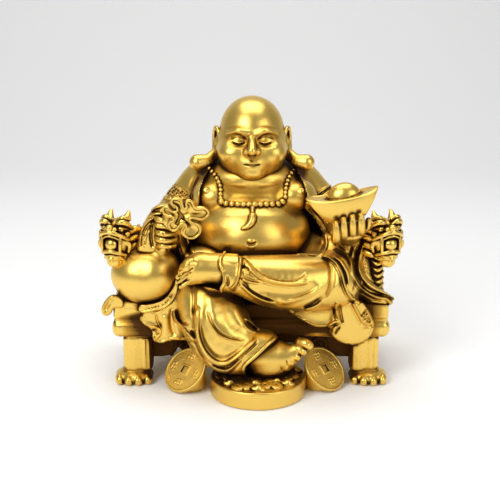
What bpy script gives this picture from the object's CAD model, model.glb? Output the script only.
"""Dresses a cast brass ornament: a seated monk with a sack and an ingot on a dragon armchair.

Every piece is sculpted as a grid of distances to its surface, in millimetres from the middle of the
seat's top front edge: X to the viewer's right, Y to the back and Z up. Its surface is then cut out of
the grid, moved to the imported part's place and dressed in brass.
"""

import logging
import math
from abc import ABC, abstractmethod
from dataclasses import dataclass, field, replace
from enum import Enum, auto
from functools import partial
from typing import Iterable, Sequence

import bmesh
import bpy
import numpy as np
from mathutils import Matrix, Vector


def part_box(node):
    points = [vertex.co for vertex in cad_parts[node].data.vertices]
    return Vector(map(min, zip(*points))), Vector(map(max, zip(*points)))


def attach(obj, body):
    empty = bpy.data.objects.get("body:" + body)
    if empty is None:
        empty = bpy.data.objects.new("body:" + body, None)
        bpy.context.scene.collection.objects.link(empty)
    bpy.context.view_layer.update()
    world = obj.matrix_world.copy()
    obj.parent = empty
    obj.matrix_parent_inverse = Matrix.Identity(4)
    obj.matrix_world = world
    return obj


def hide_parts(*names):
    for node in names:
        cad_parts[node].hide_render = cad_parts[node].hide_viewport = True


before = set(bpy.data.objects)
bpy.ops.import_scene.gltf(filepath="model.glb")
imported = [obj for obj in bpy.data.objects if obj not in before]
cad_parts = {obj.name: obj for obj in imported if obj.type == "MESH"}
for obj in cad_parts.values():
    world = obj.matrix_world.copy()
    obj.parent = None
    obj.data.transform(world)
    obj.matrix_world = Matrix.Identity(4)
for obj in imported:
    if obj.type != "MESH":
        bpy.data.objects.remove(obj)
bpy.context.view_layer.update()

logging.basicConfig(level=logging.INFO, format="%(message)s")
log = logging.getLogger("ornament")

Array = np.ndarray
Vec = tuple[float, float, float]
Flat = tuple[float, float]
Box = tuple[Vec, Vec]
UNTURNED: Vec = (0, 0, 0)

FAR = 24.0  # The largest distance that a grid holds.
PIXEL = 0.5  # The spacing of tables over the picture plane.
OUTLINE_STEP = 1.5
VEIL_MARGIN = 12
LONGEST_EDGE = 5.0
HALVINGS = 3
CORNER_BITS = 20  # Enough for the number of any mesh's points.
STROKE_MARGIN = 4
RELIEF_REACH = 6

MARCH_STEPS = 90
LONGEST_STEP, STEP_SHARE = 12, 0.9
TOUCH = 0.05
MISSED = 1e6  # The depth of a ray that meets nothing.
MM = 1000  # Millimetres in a metre.

SEAT_HEIGHT = 85.0
GROUND = -SEAT_HEIGHT
STAND_CENTRE = (7.0, -17.0)
STAND_TOP = -68.0
BACK_LIMIT = 110.0
LAP_REACH = 113.0
LAP_FADE = 12

PROBES = ((1.6, 0.46, 0.0), (4.0, 0.42, 0.0), (9.0, 0.29, 0.0), (18.0, 0.22, 0.0))  # Distance, weight and lift.
SHELTER_DISTANCE, SHELTER_LIFT = 27.0, 0.9


# Forms


def smooth_min(a: Array, b: Array, blend: float) -> Array:
    """Joins two distances with a rounded seam.

    Args:
        a: Distances to the first form.
        b: Distances to the second form.
        blend: Width of the seam in millimetres; 0 leaves it sharp.

    Returns:
        Distances to both forms together.
    """
    if blend <= 0:
        return np.minimum(a, b)
    seam = np.maximum(blend - np.abs(a - b), 0)
    return np.minimum(a, b) - seam * seam * np.float32(0.25 / blend)


def turning(turn: Vec) -> Array:
    """Returns the matrix of a turn about X, then Y, then Z, in degrees."""
    a, b, c = (math.radians(t) for t in turn)
    about_x = np.array([[1, 0, 0], [0, math.cos(a), -math.sin(a)], [0, math.sin(a), math.cos(a)]])
    about_y = np.array([[math.cos(b), 0, math.sin(b)], [0, 1, 0], [-math.sin(b), 0, math.cos(b)]])
    about_z = np.array([[math.cos(c), -math.sin(c), 0], [math.sin(c), math.cos(c), 0], [0, 0, 1]])
    return about_z @ about_y @ about_x


def smooth_line(points: Sequence[Sequence[float]], step: float, closed: bool = False) -> Array:
    """Runs a smooth line through points of any number of coordinates.

    Args:
        points: The points to pass through.
        step: Spacing of the points that are returned.
        closed: Whether the line returns to its first point.

    Returns:
        An array with one row for each point of the line.
    """
    knots = np.asarray(points, float)
    if closed:
        knots = np.concatenate([knots[-2:], knots, knots[:3]])
    gaps = np.linalg.norm(np.diff(knots[:, :3], axis=0), axis=1)
    place = np.concatenate([[0], np.cumsum(np.maximum(gaps, 1e-6))])
    slope = np.gradient(knots, place, axis=0)
    first, last = (place[2], place[-3]) if closed else (0.0, place[-1])
    count = max(2, int(math.ceil((last - first) / step)) + 1)
    at = np.linspace(first, last, count)
    i = np.clip(np.searchsorted(place, at, side="right") - 1, 0, len(place) - 2)
    width = (place[i + 1] - place[i])[:, None]
    t = (at[:, None] - place[i][:, None]) / width
    a, b = knots[i], knots[i + 1]
    ma, mb = slope[i] * width, slope[i + 1] * width
    return (2 * t**3 - 3 * t**2 + 1) * a + (t**3 - 2 * t**2 + t) * ma + (3 * t**2 - 2 * t**3) * b + (t**3 - t**2) * mb


def around(centre: Vec, spread: Array) -> Box:
    """Returns the box that reaches a spread to every side of a centre."""
    return tuple(np.array(centre) - spread), tuple(np.array(centre) + spread)


def own_axes(x: Array, y: Array, z: Array, centre: Vec, turn: Vec = UNTURNED) -> list[Array]:
    """Returns coordinates measured from a form's centre along its own axes."""
    x, y, z = (line - np.float32(start) for line, start in zip((x, y, z), centre))
    if not any(turn):
        return [x, y, z]
    matrix = turning(turn).astype(np.float32)
    return [matrix[0, axis] * x + matrix[1, axis] * y + matrix[2, axis] * z for axis in range(3)]


def rounded(first: Array, second: Array, radius: float) -> Array:
    """Returns the distances to an edge of a radius, from how far out of its two sides the places lie."""
    outside = np.sqrt(np.maximum(first, 0) ** 2 + np.maximum(second, 0) ** 2)
    return np.minimum(np.maximum(first, second), 0) + outside - np.float32(radius)


class Form(ABC):
    """A solid that can say how far each place is from its surface."""

    @abstractmethod
    def bounds(self) -> Box:
        """Returns the low and high corners of the form."""

    @abstractmethod
    def distance(self, x: Array, y: Array, z: Array, reach: float) -> Array:
        """Measures the form on a grid.

        Args:
            x: Coordinates along X, shaped (n, 1, 1).
            y: Coordinates along Y, shaped (1, n, 1).
            z: Coordinates along Z, shaped (1, 1, n).
            reach: How far from the surface the distances have to be right.

        Returns:
            Distances that are negative inside.
        """


Forms = list[tuple[Form, float]]


@dataclass(frozen=True)
class Egg(Form):
    """An ellipsoid, turned about X, Y and Z in degrees."""

    centre: Vec
    radii: Vec
    turn: Vec = UNTURNED

    def bounds(self) -> Box:
        """Returns the low and high corners of the form."""
        spread = np.sqrt(((turning(self.turn) * np.array(self.radii)) ** 2).sum(1))
        return around(self.centre, spread)

    def distance(self, x: Array, y: Array, z: Array, reach: float) -> Array:
        """Measures the form on a grid; see Form."""
        near, far = 0.0, 0.0
        for along, radius in zip(own_axes(x, y, z, self.centre, self.turn), self.radii):
            along = along / np.float32(radius)
            near = near + along * along
            along = along / np.float32(radius)
            far = far + along * along
        near = np.sqrt(near)
        return near * (near - 1) / np.maximum(np.sqrt(far), np.float32(1e-6))


@dataclass(frozen=True)
class Limb(Form):
    """A round-ended limb whose radius changes along a smooth line."""

    points: Sequence[Vec]
    radii: Sequence[float]
    step: float = 0.0
    closed: bool = False

    def route(self) -> Array:
        """Returns the line as rows of x, y, z and radius."""
        radii = list(self.radii) if len(self.radii) == len(self.points) else [self.radii[0]] * len(self.points)
        rows = [(*point, radius) for point, radius in zip(self.points, radii)]
        step = self.step or max(1.2, 0.45 * float(np.mean(radii)))
        return smooth_line(rows, step, self.closed)

    def bounds(self) -> Box:
        """Returns the low and high corners of the form."""
        rows = self.route()
        low = (rows[:, :3] - rows[:, 3:]).min(0)
        high = (rows[:, :3] + rows[:, 3:]).max(0)
        return tuple(low), tuple(high)

    def distance(self, x: Array, y: Array, z: Array, reach: float) -> Array:
        """Measures the form on a grid; see Form."""
        near = np.full((x.shape[0], y.shape[1], z.shape[2]), FAR, np.float32)
        rows = self.route()
        for a, b in zip(rows[:-1], rows[1:]):
            margin = max(a[3], b[3]) + reach
            low = np.minimum(a[:3], b[:3]) - margin
            high = np.maximum(a[:3], b[:3]) + margin
            spans = tuple(
                slice(int(np.searchsorted(line, lo)), int(np.searchsorted(line, hi)))
                for line, lo, hi in zip((x[:, 0, 0], y[0, :, 0], z[0, 0, :]), low, high)
            )
            part = near[spans]
            if part.size:
                here = (x[spans[0]], y[:, spans[1]], z[:, :, spans[2]])
                np.minimum(part, self._segment(here, a, b), out=part)
        return near

    @staticmethod
    def _segment(here: tuple[Array, ...], a: Array, b: Array) -> Array:
        """Returns the distances to the stretch from row a to row b."""
        a, b = a.astype(np.float32), b.astype(np.float32)
        along = b[:3] - a[:3]
        length = np.float32(max(float(along @ along), 1e-9))
        x, y, z = (line - start for line, start in zip(here, a[:3]))
        t = np.clip((x * along[0] + y * along[1] + z * along[2]) / length, 0, 1)
        square = (x - t * along[0]) ** 2 + (y - t * along[1]) ** 2 + (z - t * along[2]) ** 2
        return np.sqrt(square) - (a[3] + t * (b[3] - a[3]))


@dataclass(frozen=True)
class Brick(Form):
    """A box with rounded edges, turned in degrees."""

    centre: Vec
    size: Vec
    round: float = 1.0
    turn: Vec = UNTURNED

    def bounds(self) -> Box:
        """Returns the low and high corners of the form."""
        spread = np.abs(turning(self.turn)) @ (np.array(self.size) / 2)
        return around(self.centre, spread)

    def distance(self, x: Array, y: Array, z: Array, reach: float) -> Array:
        """Measures the form on a grid; see Form."""
        outside, inside = 0.0, np.float32(-FAR)
        for along, size in zip(own_axes(x, y, z, self.centre, self.turn), self.size):
            over = np.abs(along) - np.float32(size / 2 - self.round)
            outside = outside + np.maximum(over, 0) ** 2
            inside = np.maximum(inside, over)
        return np.minimum(inside, 0) + np.sqrt(outside) - np.float32(self.round)


@dataclass(frozen=True)
class Drum(Form):
    """An upright round drum with a rounded edge."""

    centre: Vec
    radius: float
    height: float
    round: float = 1.0

    def bounds(self) -> Box:
        """Returns the low and high corners of the form."""
        spread = np.array([self.radius, self.radius, self.height / 2])
        return around(self.centre, spread)

    def distance(self, x: Array, y: Array, z: Array, reach: float) -> Array:
        """Measures the form on a grid; see Form."""
        x, y, z = own_axes(x, y, z, self.centre)
        out = np.sqrt(x * x + y * y) - np.float32(self.radius - self.round)
        up = np.abs(z) - np.float32(self.height / 2 - self.round)
        return rounded(out, up, self.round)


@dataclass(frozen=True)
class Ring(Form):
    """A round bar bent into a circle in the XY plane."""

    centre: Vec
    radius: float
    bar: float

    def bounds(self) -> Box:
        """Returns the low and high corners of the form."""
        spread = np.array([self.radius + self.bar, self.radius + self.bar, self.bar])
        return around(self.centre, spread)

    def distance(self, x: Array, y: Array, z: Array, reach: float) -> Array:
        """Measures the form on a grid; see Form."""
        x, y, z = own_axes(x, y, z, self.centre)
        out = np.sqrt(x * x + y * y) - np.float32(self.radius)
        return np.sqrt(out * out + z * z) - np.float32(self.bar)


def outline_distance(outline: Array, across: Array, up: Array) -> Array:
    """Measures a closed outline on a plane.

    Args:
        outline: Corners of the outline, one per row.
        across: First coordinates of the places.
        up: Second coordinates of the places.

    Returns:
        Distances that are negative inside the outline.
    """
    square = np.full(np.broadcast(across, up).shape, 1e9, np.float32)
    inside = np.zeros(square.shape, bool)
    for (ax, ay), (bx, by) in zip(outline, np.roll(outline, -1, axis=0)):
        ex, ey = bx - ax, by - ay
        px, py = across - ax, up - ay
        t = np.clip((px * ex + py * ey) / max(ex * ex + ey * ey, 1e-9), 0, 1)
        square = np.minimum(square, (px - t * ex) ** 2 + (py - t * ey) ** 2)
        if by != ay:
            crossing = ((ay > up) != (by > up)) & (across < ex * (up - ay) / (by - ay) + ax)
            inside ^= crossing
    return np.where(inside, -1, 1) * np.sqrt(square)


@dataclass(frozen=True)
class Slab(Form):
    """A plate: an outline in the XZ plane that runs from y to y + depth."""

    outline: Sequence[Flat]
    y: float
    depth: float
    round: float = 1.0

    def bounds(self) -> Box:
        """Returns the low and high corners of the form."""
        (x0, z0), (x1, z1) = np.min(self.outline, 0), np.max(self.outline, 0)
        return (x0, self.y, z0), (x1, self.y + self.depth, z1)

    def distance(self, x: Array, y: Array, z: Array, reach: float) -> Array:
        """Measures the form on a grid; see Form."""
        across = outline_distance(np.asarray(self.outline, float), x, z).astype(np.float32) + np.float32(self.round)
        out = np.abs(y - np.float32(self.y + self.depth / 2)) - np.float32(self.depth / 2 - self.round)
        return rounded(across, out, self.round)


# The line of sight


@dataclass(frozen=True)
class Sight:
    """The picture plane of the camera, with u to the right and v up from the seat's front edge."""

    level: float = 55.5
    distance: float = 1200.0
    shift: float = -1.0
    angle: float = 17.0

    @property
    def inward(self) -> Array:
        """The direction in which the camera looks."""
        return np.array([0, math.cos(math.radians(self.angle)), -math.sin(math.radians(self.angle))])

    @property
    def upward(self) -> Array:
        """The picture's upward direction."""
        return np.array([0, math.sin(math.radians(self.angle)), math.cos(math.radians(self.angle))])

    @property
    def eye(self) -> Array:
        """The camera's place."""
        return self.upward * self.level - self.inward * self.distance + np.array([self.shift, 0, 0])

    def project(self, x: Array, y: Array, z: Array) -> tuple[Array, Array, Array]:
        """Returns where places appear: u, v and the depth along the line of sight."""
        eye = self.eye.astype(np.float32)
        up, inward = self.upward.astype(np.float32), self.inward.astype(np.float32)
        y, z = y - eye[1], z - eye[2]
        depth = inward[1] * y + inward[2] * z
        scale = np.float32(self.distance) / depth
        u = (x - eye[0]) * scale + np.float32(self.shift)
        v = (up[1] * y + up[2] * z) * scale + np.float32(self.level)
        return u, v, depth

    def rays(self, u: Array, v: Array) -> Array:
        """Returns the direction from the eye to each picture point, with a unit depth along the sight."""
        target = np.outer(u, [1.0, 0, 0]) + np.outer(v, self.upward)
        return (target - self.eye) / self.distance


SIGHT = Sight()


@dataclass(frozen=True)
class Veil(Form):
    """What lies behind an outline in the picture, between two depths along Y."""

    outline: Sequence[Flat]
    front: float
    back: float
    round: float = 1.0
    smooth: bool = True
    low: float = -80.0
    high: float = 140.0

    def corners(self) -> Array:
        """Returns the outline's corners in the picture."""
        if self.smooth:
            return smooth_line(self.outline, OUTLINE_STEP, closed=True)
        return np.asarray(self.outline, float)

    def bounds(self) -> Box:
        """Returns the low and high corners of the form."""
        (u0, v0), (u1, v1) = self.corners().min(0), self.corners().max(0)
        slope = math.tan(math.radians(SIGHT.angle))
        cosine = math.cos(math.radians(SIGHT.angle))
        lean = [v / cosine - y * slope for v in (v0, v1) for y in (self.front, self.back)]
        grow = 1 + max(self.back, 0) / SIGHT.distance
        low = (min(u0, u0 * grow) - VEIL_MARGIN / 2, self.front, max(self.low, min(lean) - VEIL_MARGIN))
        high = (max(u1, u1 * grow) + VEIL_MARGIN / 2, self.back, min(self.high, max(lean) + VEIL_MARGIN))
        return low, high

    def distance(self, x: Array, y: Array, z: Array, reach: float) -> Array:
        """Measures the form on a grid; see Form."""
        corners = self.corners()
        (u0, v0), (u1, v1) = corners.min(0) - VEIL_MARGIN, corners.max(0) + VEIL_MARGIN
        across = np.arange(u0, u1, PIXEL, dtype=np.float32)
        up = np.arange(v0, v1, PIXEL, dtype=np.float32)
        table = outline_distance(corners, across[:, None], up[None, :]).astype(np.float32)
        u, v, _ = SIGHT.project(x, y, z)
        u, v = np.broadcast_arrays(u, v)
        i = np.clip((u - u0) / PIXEL, 0, len(across) - 2)
        j = np.clip((v - v0) / PIXEL, 0, len(up) - 2)
        across_out = bilinear(table, i, j) + np.float32(self.round)
        middle, half = (self.front + self.back) / 2, (self.back - self.front) / 2
        out = np.abs(y - np.float32(middle)) - np.float32(half - self.round)
        return rounded(across_out, out, self.round)


def bilinear(table: Array, i: Array, j: Array) -> Array:
    """Reads a table between its entries.

    Args:
        table: Two-dimensional values.
        i: Fractional first indices, inside the table.
        j: Fractional second indices, inside the table.

    Returns:
        The values at those places.
    """
    a, b = i.astype(np.int32), j.astype(np.int32)
    fa, fb = (i - a).astype(np.float32), (j - b).astype(np.float32)
    flat, width = table.ravel(), table.shape[1]
    base = a * width + b
    low = flat[base] * (1 - fb) + flat[base + 1] * fb
    high = flat[base + width] * (1 - fb) + flat[base + width + 1] * fb
    return low * (1 - fa) + high * fa


# Carving


class Cut(Enum):
    """The section of a carved line."""

    RIDGE = auto()
    GROOVE = auto()
    HEM = auto()


@dataclass(frozen=True)
class Stroke:
    """A carved line in the picture. A hem is high on the left of its direction of travel."""

    cut: Cut
    points: Sequence[Flat]
    width: float
    height: float
    fade: float = 6.0
    bead: float = 1.5

    def heights(self, u: Array, v: Array) -> Array:
        """Returns the stroke's height at each place of a picture window."""
        line = smooth_line(self.points, 1.6)
        lengths = np.concatenate([[0], np.cumsum(np.linalg.norm(np.diff(line, axis=0), axis=1))])
        near = np.full(u.shape, 1e9, np.float32)
        side = np.zeros(u.shape, np.float32)
        place = np.zeros(u.shape, np.float32)
        for (ax, ay), (bx, by), start, stop in zip(line[:-1], line[1:], lengths[:-1], lengths[1:]):
            ex, ey = bx - ax, by - ay
            px, py = u - ax, v - ay
            t = np.clip((px * ex + py * ey) / max(ex * ex + ey * ey, 1e-9), 0, 1)
            square = (px - t * ex) ** 2 + (py - t * ey) ** 2
            closer = square < near
            near = np.where(closer, square, near)
            side = np.where(closer, ex * py - ey * px, side)
            place = np.where(closer, start + t * (stop - start), place)
        away = np.sqrt(near) * np.sign(side)
        fade = max(min(self.fade, lengths[-1] / 2), 1e-3)
        ends = np.clip(np.minimum(place, lengths[-1] - place) / fade, 0, 1)
        return self.height * ends * ends * (3 - 2 * ends) * self.section(away)

    def section(self, away: Array) -> Array:
        """Returns the section's height at signed distances from the line."""
        bump = np.clip(1 - (away / self.width) ** 2, 0, None) ** 2
        if self.cut is Cut.RIDGE:
            return bump
        if self.cut is Cut.GROOVE:
            return -bump
        slope = np.clip(1 - away / self.width, 0, 1)
        lip = np.where(away > 0, slope * slope, np.clip(1 + away / 0.9, 0, 1))
        edge = np.clip(1 - ((away - 0.8 * self.bead) / self.bead) ** 2, 0, None) ** 1.5
        under = np.clip(1 - ((away + 2.1) / 1.7) ** 2, 0, None) ** 2
        return 0.6 * lip + 0.5 * edge - 0.35 * under


hem = partial(Stroke, Cut.HEM)
ridge = partial(Stroke, Cut.RIDGE)
groove = partial(Stroke, Cut.GROOVE)


@dataclass
class Relief:
    """Heights over the picture plane, raised from the surfaces that the eye sees first."""

    low: Flat = (-165.0, -110.0)
    high: Flat = (165.0, 155.0)
    pixel: float = PIXEL

    def __post_init__(self) -> None:
        """Lays out the flat grid."""
        self.u = np.arange(self.low[0], self.high[0], self.pixel, dtype=np.float32)
        self.v = np.arange(self.low[1], self.high[1], self.pixel, dtype=np.float32)
        self.height = np.zeros((len(self.u), len(self.v)), np.float32)

    def window(self, points: Array, margin: float) -> tuple[slice, slice]:
        """Returns the part of the grid around points."""
        (u0, v0), (u1, v1) = points.min(0) - margin, points.max(0) + margin
        return slice(*np.searchsorted(self.u, [u0, u1])), slice(*np.searchsorted(self.v, [v0, v1]))

    def draw(self, strokes: Iterable[Stroke]) -> "Relief":
        """Adds strokes to the heights and returns the relief."""
        for stroke in strokes:
            points = np.asarray(stroke.points, float)
            across, up = self.window(points, stroke.width + STROKE_MARGIN)
            u, v = np.meshgrid(self.u[across], self.v[up], indexing="ij")
            self.height[across, up] += stroke.heights(u, v).astype(np.float32)
        return self

    def pattern(self, outline: Sequence[Flat], pitch: float, height: float) -> "Relief":
        """Covers an outline with small curling bosses and returns the relief."""
        corners = np.asarray(outline, float)
        across, up = self.window(corners, 1)
        u, v = np.meshgrid(self.u[across], self.v[up], indexing="ij")
        inside = np.clip(-outline_distance(corners, u, v), 0, 1)
        turn = 2 * math.pi / pitch
        waves = np.sin(turn * (u + 0.6 * np.sin(turn * v * 0.7))) * np.sin(turn * (v + 0.6 * np.sin(turn * u * 0.6)))
        self.height[across, up] += (height * inside * np.clip(waves * 2.2, -1, 1)).astype(np.float32)
        return self

    def read(self, u: Array, v: Array) -> Array:
        """Returns the height at picture points."""
        i = np.clip((u - self.u[0]) / self.pixel, 0, len(self.u) - 2)
        j = np.clip((v - self.v[0]) / self.pixel, 0, len(self.v) - 2)
        return bilinear(self.height, i, j)


# Clay


CORNERS = np.array([(i, j, k) for i in (0, 1) for j in (0, 1) for k in (0, 1)])
EDGES = [(a, b) for a in range(8) for b in range(a + 1, 8) if np.abs(CORNERS[a] - CORNERS[b]).sum() == 1]


@dataclass(eq=False)
class Clay:
    """A block of space that holds distances to one piece's surface."""

    low: Vec
    high: Vec
    cell: float

    def __post_init__(self) -> None:
        """Lays out the grid, empty."""
        self.cell = self.cell * 1.0
        counts = [int(math.ceil((b - a) / self.cell)) + 1 for a, b in zip(self.low, self.high)]
        self.axes = [
            (start + self.cell * np.arange(count)).astype(np.float32) for start, count in zip(self.low, counts)
        ]
        self.field = np.full(counts, FAR, np.float32)

    def _window(self, form: Form, margin: float) -> tuple[slice, ...]:
        """Returns the part of the grid around a form."""
        low, high = form.bounds()
        return tuple(
            slice(int(np.searchsorted(axis, a - margin)), int(np.searchsorted(axis, b + margin)))
            for axis, a, b in zip(self.axes, low, high)
        )

    def _measure(self, form: Form, spans: tuple[slice, ...], reach: float) -> Array:
        """Returns a form's distances in a window."""
        x, y, z = (axis[span] for axis, span in zip(self.axes, spans))
        return form.distance(x[:, None, None], y[None, :, None], z[None, None, :], reach)

    def add(self, form: Form, blend: float = 0.0) -> "Clay":
        """Joins a form on, with a seam of the given width, and returns the clay."""
        reach = blend + 3 * self.cell
        spans = self._window(form, reach)
        part = self.field[spans]
        if part.size:
            part[...] = smooth_min(part, self._measure(form, spans, reach), blend)
        return self

    def cut(self, form: Form, blend: float = 0.0) -> "Clay":
        """Takes a form away and returns the clay."""
        reach = blend + 3 * self.cell
        spans = self._window(form, reach)
        part = self.field[spans]
        if part.size:
            part[...] = -smooth_min(-part, self._measure(form, spans, reach), blend)
        return self

    def keep(self, form: Form, blend: float = 0.0) -> "Clay":
        """Keeps only what lies inside a form and returns the clay."""
        spans = self._window(form, blend + 3 * self.cell)
        kept = np.full_like(self.field, FAR)
        kept[spans] = -smooth_min(-self.field[spans], -self._measure(form, spans, FAR), blend)
        self.field = kept
        return self

    def level(self, axis: int, place: float, above: bool, blend: float = 0.0) -> "Clay":
        """Cuts everything beyond a plane away and returns the clay."""
        shape = [1, 1, 1]
        shape[axis] = -1
        line = (self.axes[axis] - np.float32(place)).reshape(shape) * (1 if above else -1)
        self.field = -smooth_min(-self.field, -line, blend)
        return self

    def sample(self, points: Array) -> Array:
        """Returns the distances at points; far points get FAR."""
        sizes = np.array(self.field.shape)
        place = (points - np.array([axis[0] for axis in self.axes])) / self.cell
        outside = ((place < 0) | (place > sizes - 1.001)).any(1)
        place = np.clip(place, 0, sizes - 1.001)
        whole = place.astype(np.int64)
        part = (place - whole).astype(np.float32)
        flat = self.field.ravel()
        strides = np.array([sizes[1] * sizes[2], sizes[2], 1])
        base = whole @ strides
        total = np.zeros(len(points), np.float32)
        for corner in CORNERS:
            weight = np.prod(np.where(corner, part, 1 - part), axis=1)
            total += weight * flat[base + int(corner @ strides)]
        total[outside] = FAR
        return total

    def gradient(self, points: Array, span: float = 1.0) -> Array:
        """Returns the field's slope at points, across span cells to each side."""
        step = self.cell * span
        slope = np.empty(points.shape, np.float32)
        for axis in range(3):
            offset = np.zeros(3)
            offset[axis] = step
            slope[:, axis] = (self.sample(points + offset) - self.sample(points - offset)) / (2 * step)
        return slope

    def settle(self, points: Array, rounds: int = 2) -> Array:
        """Moves points onto the surface and returns them."""
        for _ in range(rounds):
            slope = self.gradient(points, 0.5)
            square = np.maximum((slope * slope).sum(1), 0.05)
            move = np.clip(self.sample(points) / square, -self.cell, self.cell)
            points = points - slope * move[:, None]
        return points

    def raise_relief(self, relief: Relief, depth: float = 7.0) -> "Clay":
        """Raises a relief from the surfaces that the eye sees first and returns the clay."""
        seen = self._first_depth(relief)
        band = np.abs(self.field) < RELIEF_REACH + 2 * self.cell
        i, j, k = np.nonzero(band)
        u, v, away = SIGHT.project(self.axes[0][i], self.axes[1][j], self.axes[2][k])
        a = np.clip((u - relief.u[0]) / (2 * relief.pixel), 0, seen.shape[0] - 1).astype(np.int32)
        b = np.clip((v - relief.v[0]) / (2 * relief.pixel), 0, seen.shape[1] - 1).astype(np.int32)
        behind = away - seen[a, b]
        weight = np.clip((depth - np.abs(behind)) / (0.4 * depth), 0, 1)
        self.field[i, j, k] -= (relief.read(u, v) * weight).astype(np.float32)
        return self

    def _first_depth(self, relief: Relief) -> Array:
        """Returns the depth of the first surface behind each other pixel of a relief."""
        u, v = np.meshgrid(relief.u[::2], relief.v[::2], indexing="ij")
        return self.march(SIGHT.rays(u.ravel(), v.ravel())).reshape(u.shape)

    def march(self, rays: Array) -> Array:
        """Returns the depth at which rays from the eye meet the surface, or a large number."""
        ends = [(float(axis[0]), float(axis[-1])) for axis in self.axes]
        corners = np.array([[x, y, z] for x in ends[0] for y in ends[1] for z in ends[2]])
        depths = (corners - SIGHT.eye) @ SIGHT.inward
        start, stop = float(depths.min()), float(depths.max())
        depth = np.full(len(rays), start)
        alive = np.arange(len(rays))
        for _ in range(MARCH_STEPS):
            here = SIGHT.eye + rays[alive] * depth[alive][:, None]
            gap = self.sample(here)
            depth[alive] += np.maximum(np.minimum(gap, LONGEST_STEP) * STEP_SHARE, 0)
            alive = alive[(gap > TOUCH) & (depth[alive] < stop)]
            if not len(alive):
                break
        depth[depth >= stop] = MISSED
        return depth

    def skin(self) -> tuple[Array, Array]:
        """Cuts the surface out of the grid.

        Returns:
            Points of the surface, and quads as rows of four point numbers.
        """
        for axis in range(3):
            ends = [slice(None)] * 3
            for end in (0, -1):
                ends[axis] = end
                self.field[tuple(ends)] = np.maximum(self.field[tuple(ends)], self.cell)
        inside = self.field < 0
        nx, ny, nz = inside.shape
        count = np.zeros((nx - 1, ny - 1, nz - 1), np.uint8)
        for i, j, k in CORNERS:
            count += inside[i : nx - 1 + i, j : ny - 1 + j, k : nz - 1 + k]
        cells = np.flatnonzero((count > 0) & (count < 8))
        place = np.stack(np.unravel_index(cells, count.shape), 1)
        strides = np.array([ny * nz, nz, 1])
        values = self.field.ravel()[(place @ strides)[:, None] + (CORNERS @ strides)[None, :]]
        total, hits = np.zeros((len(cells), 3)), np.zeros(len(cells))
        for a, b in EDGES:
            first, second = values[:, a], values[:, b]
            cross = (first < 0) != (second < 0)
            t = np.where(cross, first / np.where(cross, first - second, 1), 0)
            total += cross[:, None] * (CORNERS[a] + t[:, None] * (CORNERS[b] - CORNERS[a]))
            hits += cross
        points = np.array([axis[0] for axis in self.axes]) + self.cell * (place + total / hits[:, None])
        number = np.full(count.size, -1, np.int32)
        number[cells] = np.arange(len(cells), dtype=np.int32)
        return self.settle(points), self._quads(inside, number.reshape(count.shape))

    @staticmethod
    def _quads(inside: Array, number: Array) -> Array:
        """Joins the points of neighbouring cells, with the quads facing out."""
        quads = []
        for axis in range(3):
            second, third = (axis + 1) % 3, (axis + 2) % 3
            lower, upper = [slice(1, -1)] * 3, [slice(1, -1)] * 3
            lower[axis], upper[axis] = slice(0, -1), slice(1, None)
            lower, upper = tuple(lower), tuple(upper)
            start = np.argwhere(inside[lower] != inside[upper])
            if not len(start):
                continue
            out = inside[lower][tuple(start.T)]
            start[:, second] += 1
            start[:, third] += 1
            ring = []
            for b, c in ((-1, -1), (0, -1), (0, 0), (-1, 0)):
                cell = start.copy()
                cell[:, second] += b
                cell[:, third] += c
                ring.append(number[tuple(cell.T)])
            ring = np.stack(ring, 1)
            ring[~out] = ring[~out][:, ::-1]
            quads.append(ring)
        return np.concatenate(quads)


# Finishes


class Socket:
    """A shader socket that can be used in plain arithmetic."""

    def __init__(self, shader: "Shader", socket: bpy.types.NodeSocket) -> None:
        """Wraps a socket of a shader's tree."""
        self.shader = shader
        self.socket = socket

    def _maths(self, operation: str, *values: "Socket | float") -> "Socket":
        """Returns the result of a Math node."""
        return self.shader.node("ShaderNodeMath", {"operation": operation}, dict(enumerate(values)))

    def __add__(self, other: "Socket | float") -> "Socket":
        """Returns the sum."""
        return self._maths("ADD", self, other)

    __radd__ = __add__

    def __sub__(self, other: "Socket | float") -> "Socket":
        """Returns the difference."""
        return self._maths("SUBTRACT", self, other)

    def __rsub__(self, other: "Socket | float") -> "Socket":
        """Returns the difference from a number."""
        return self._maths("SUBTRACT", other, self)

    def __mul__(self, other: "Socket | float") -> "Socket":
        """Returns the product."""
        return self._maths("MULTIPLY", self, other)

    __rmul__ = __mul__

    def clamp(self) -> "Socket":
        """Returns the value held between 0 and 1."""
        return self.shader.node("ShaderNodeClamp", {}, {"Value": self})


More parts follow.
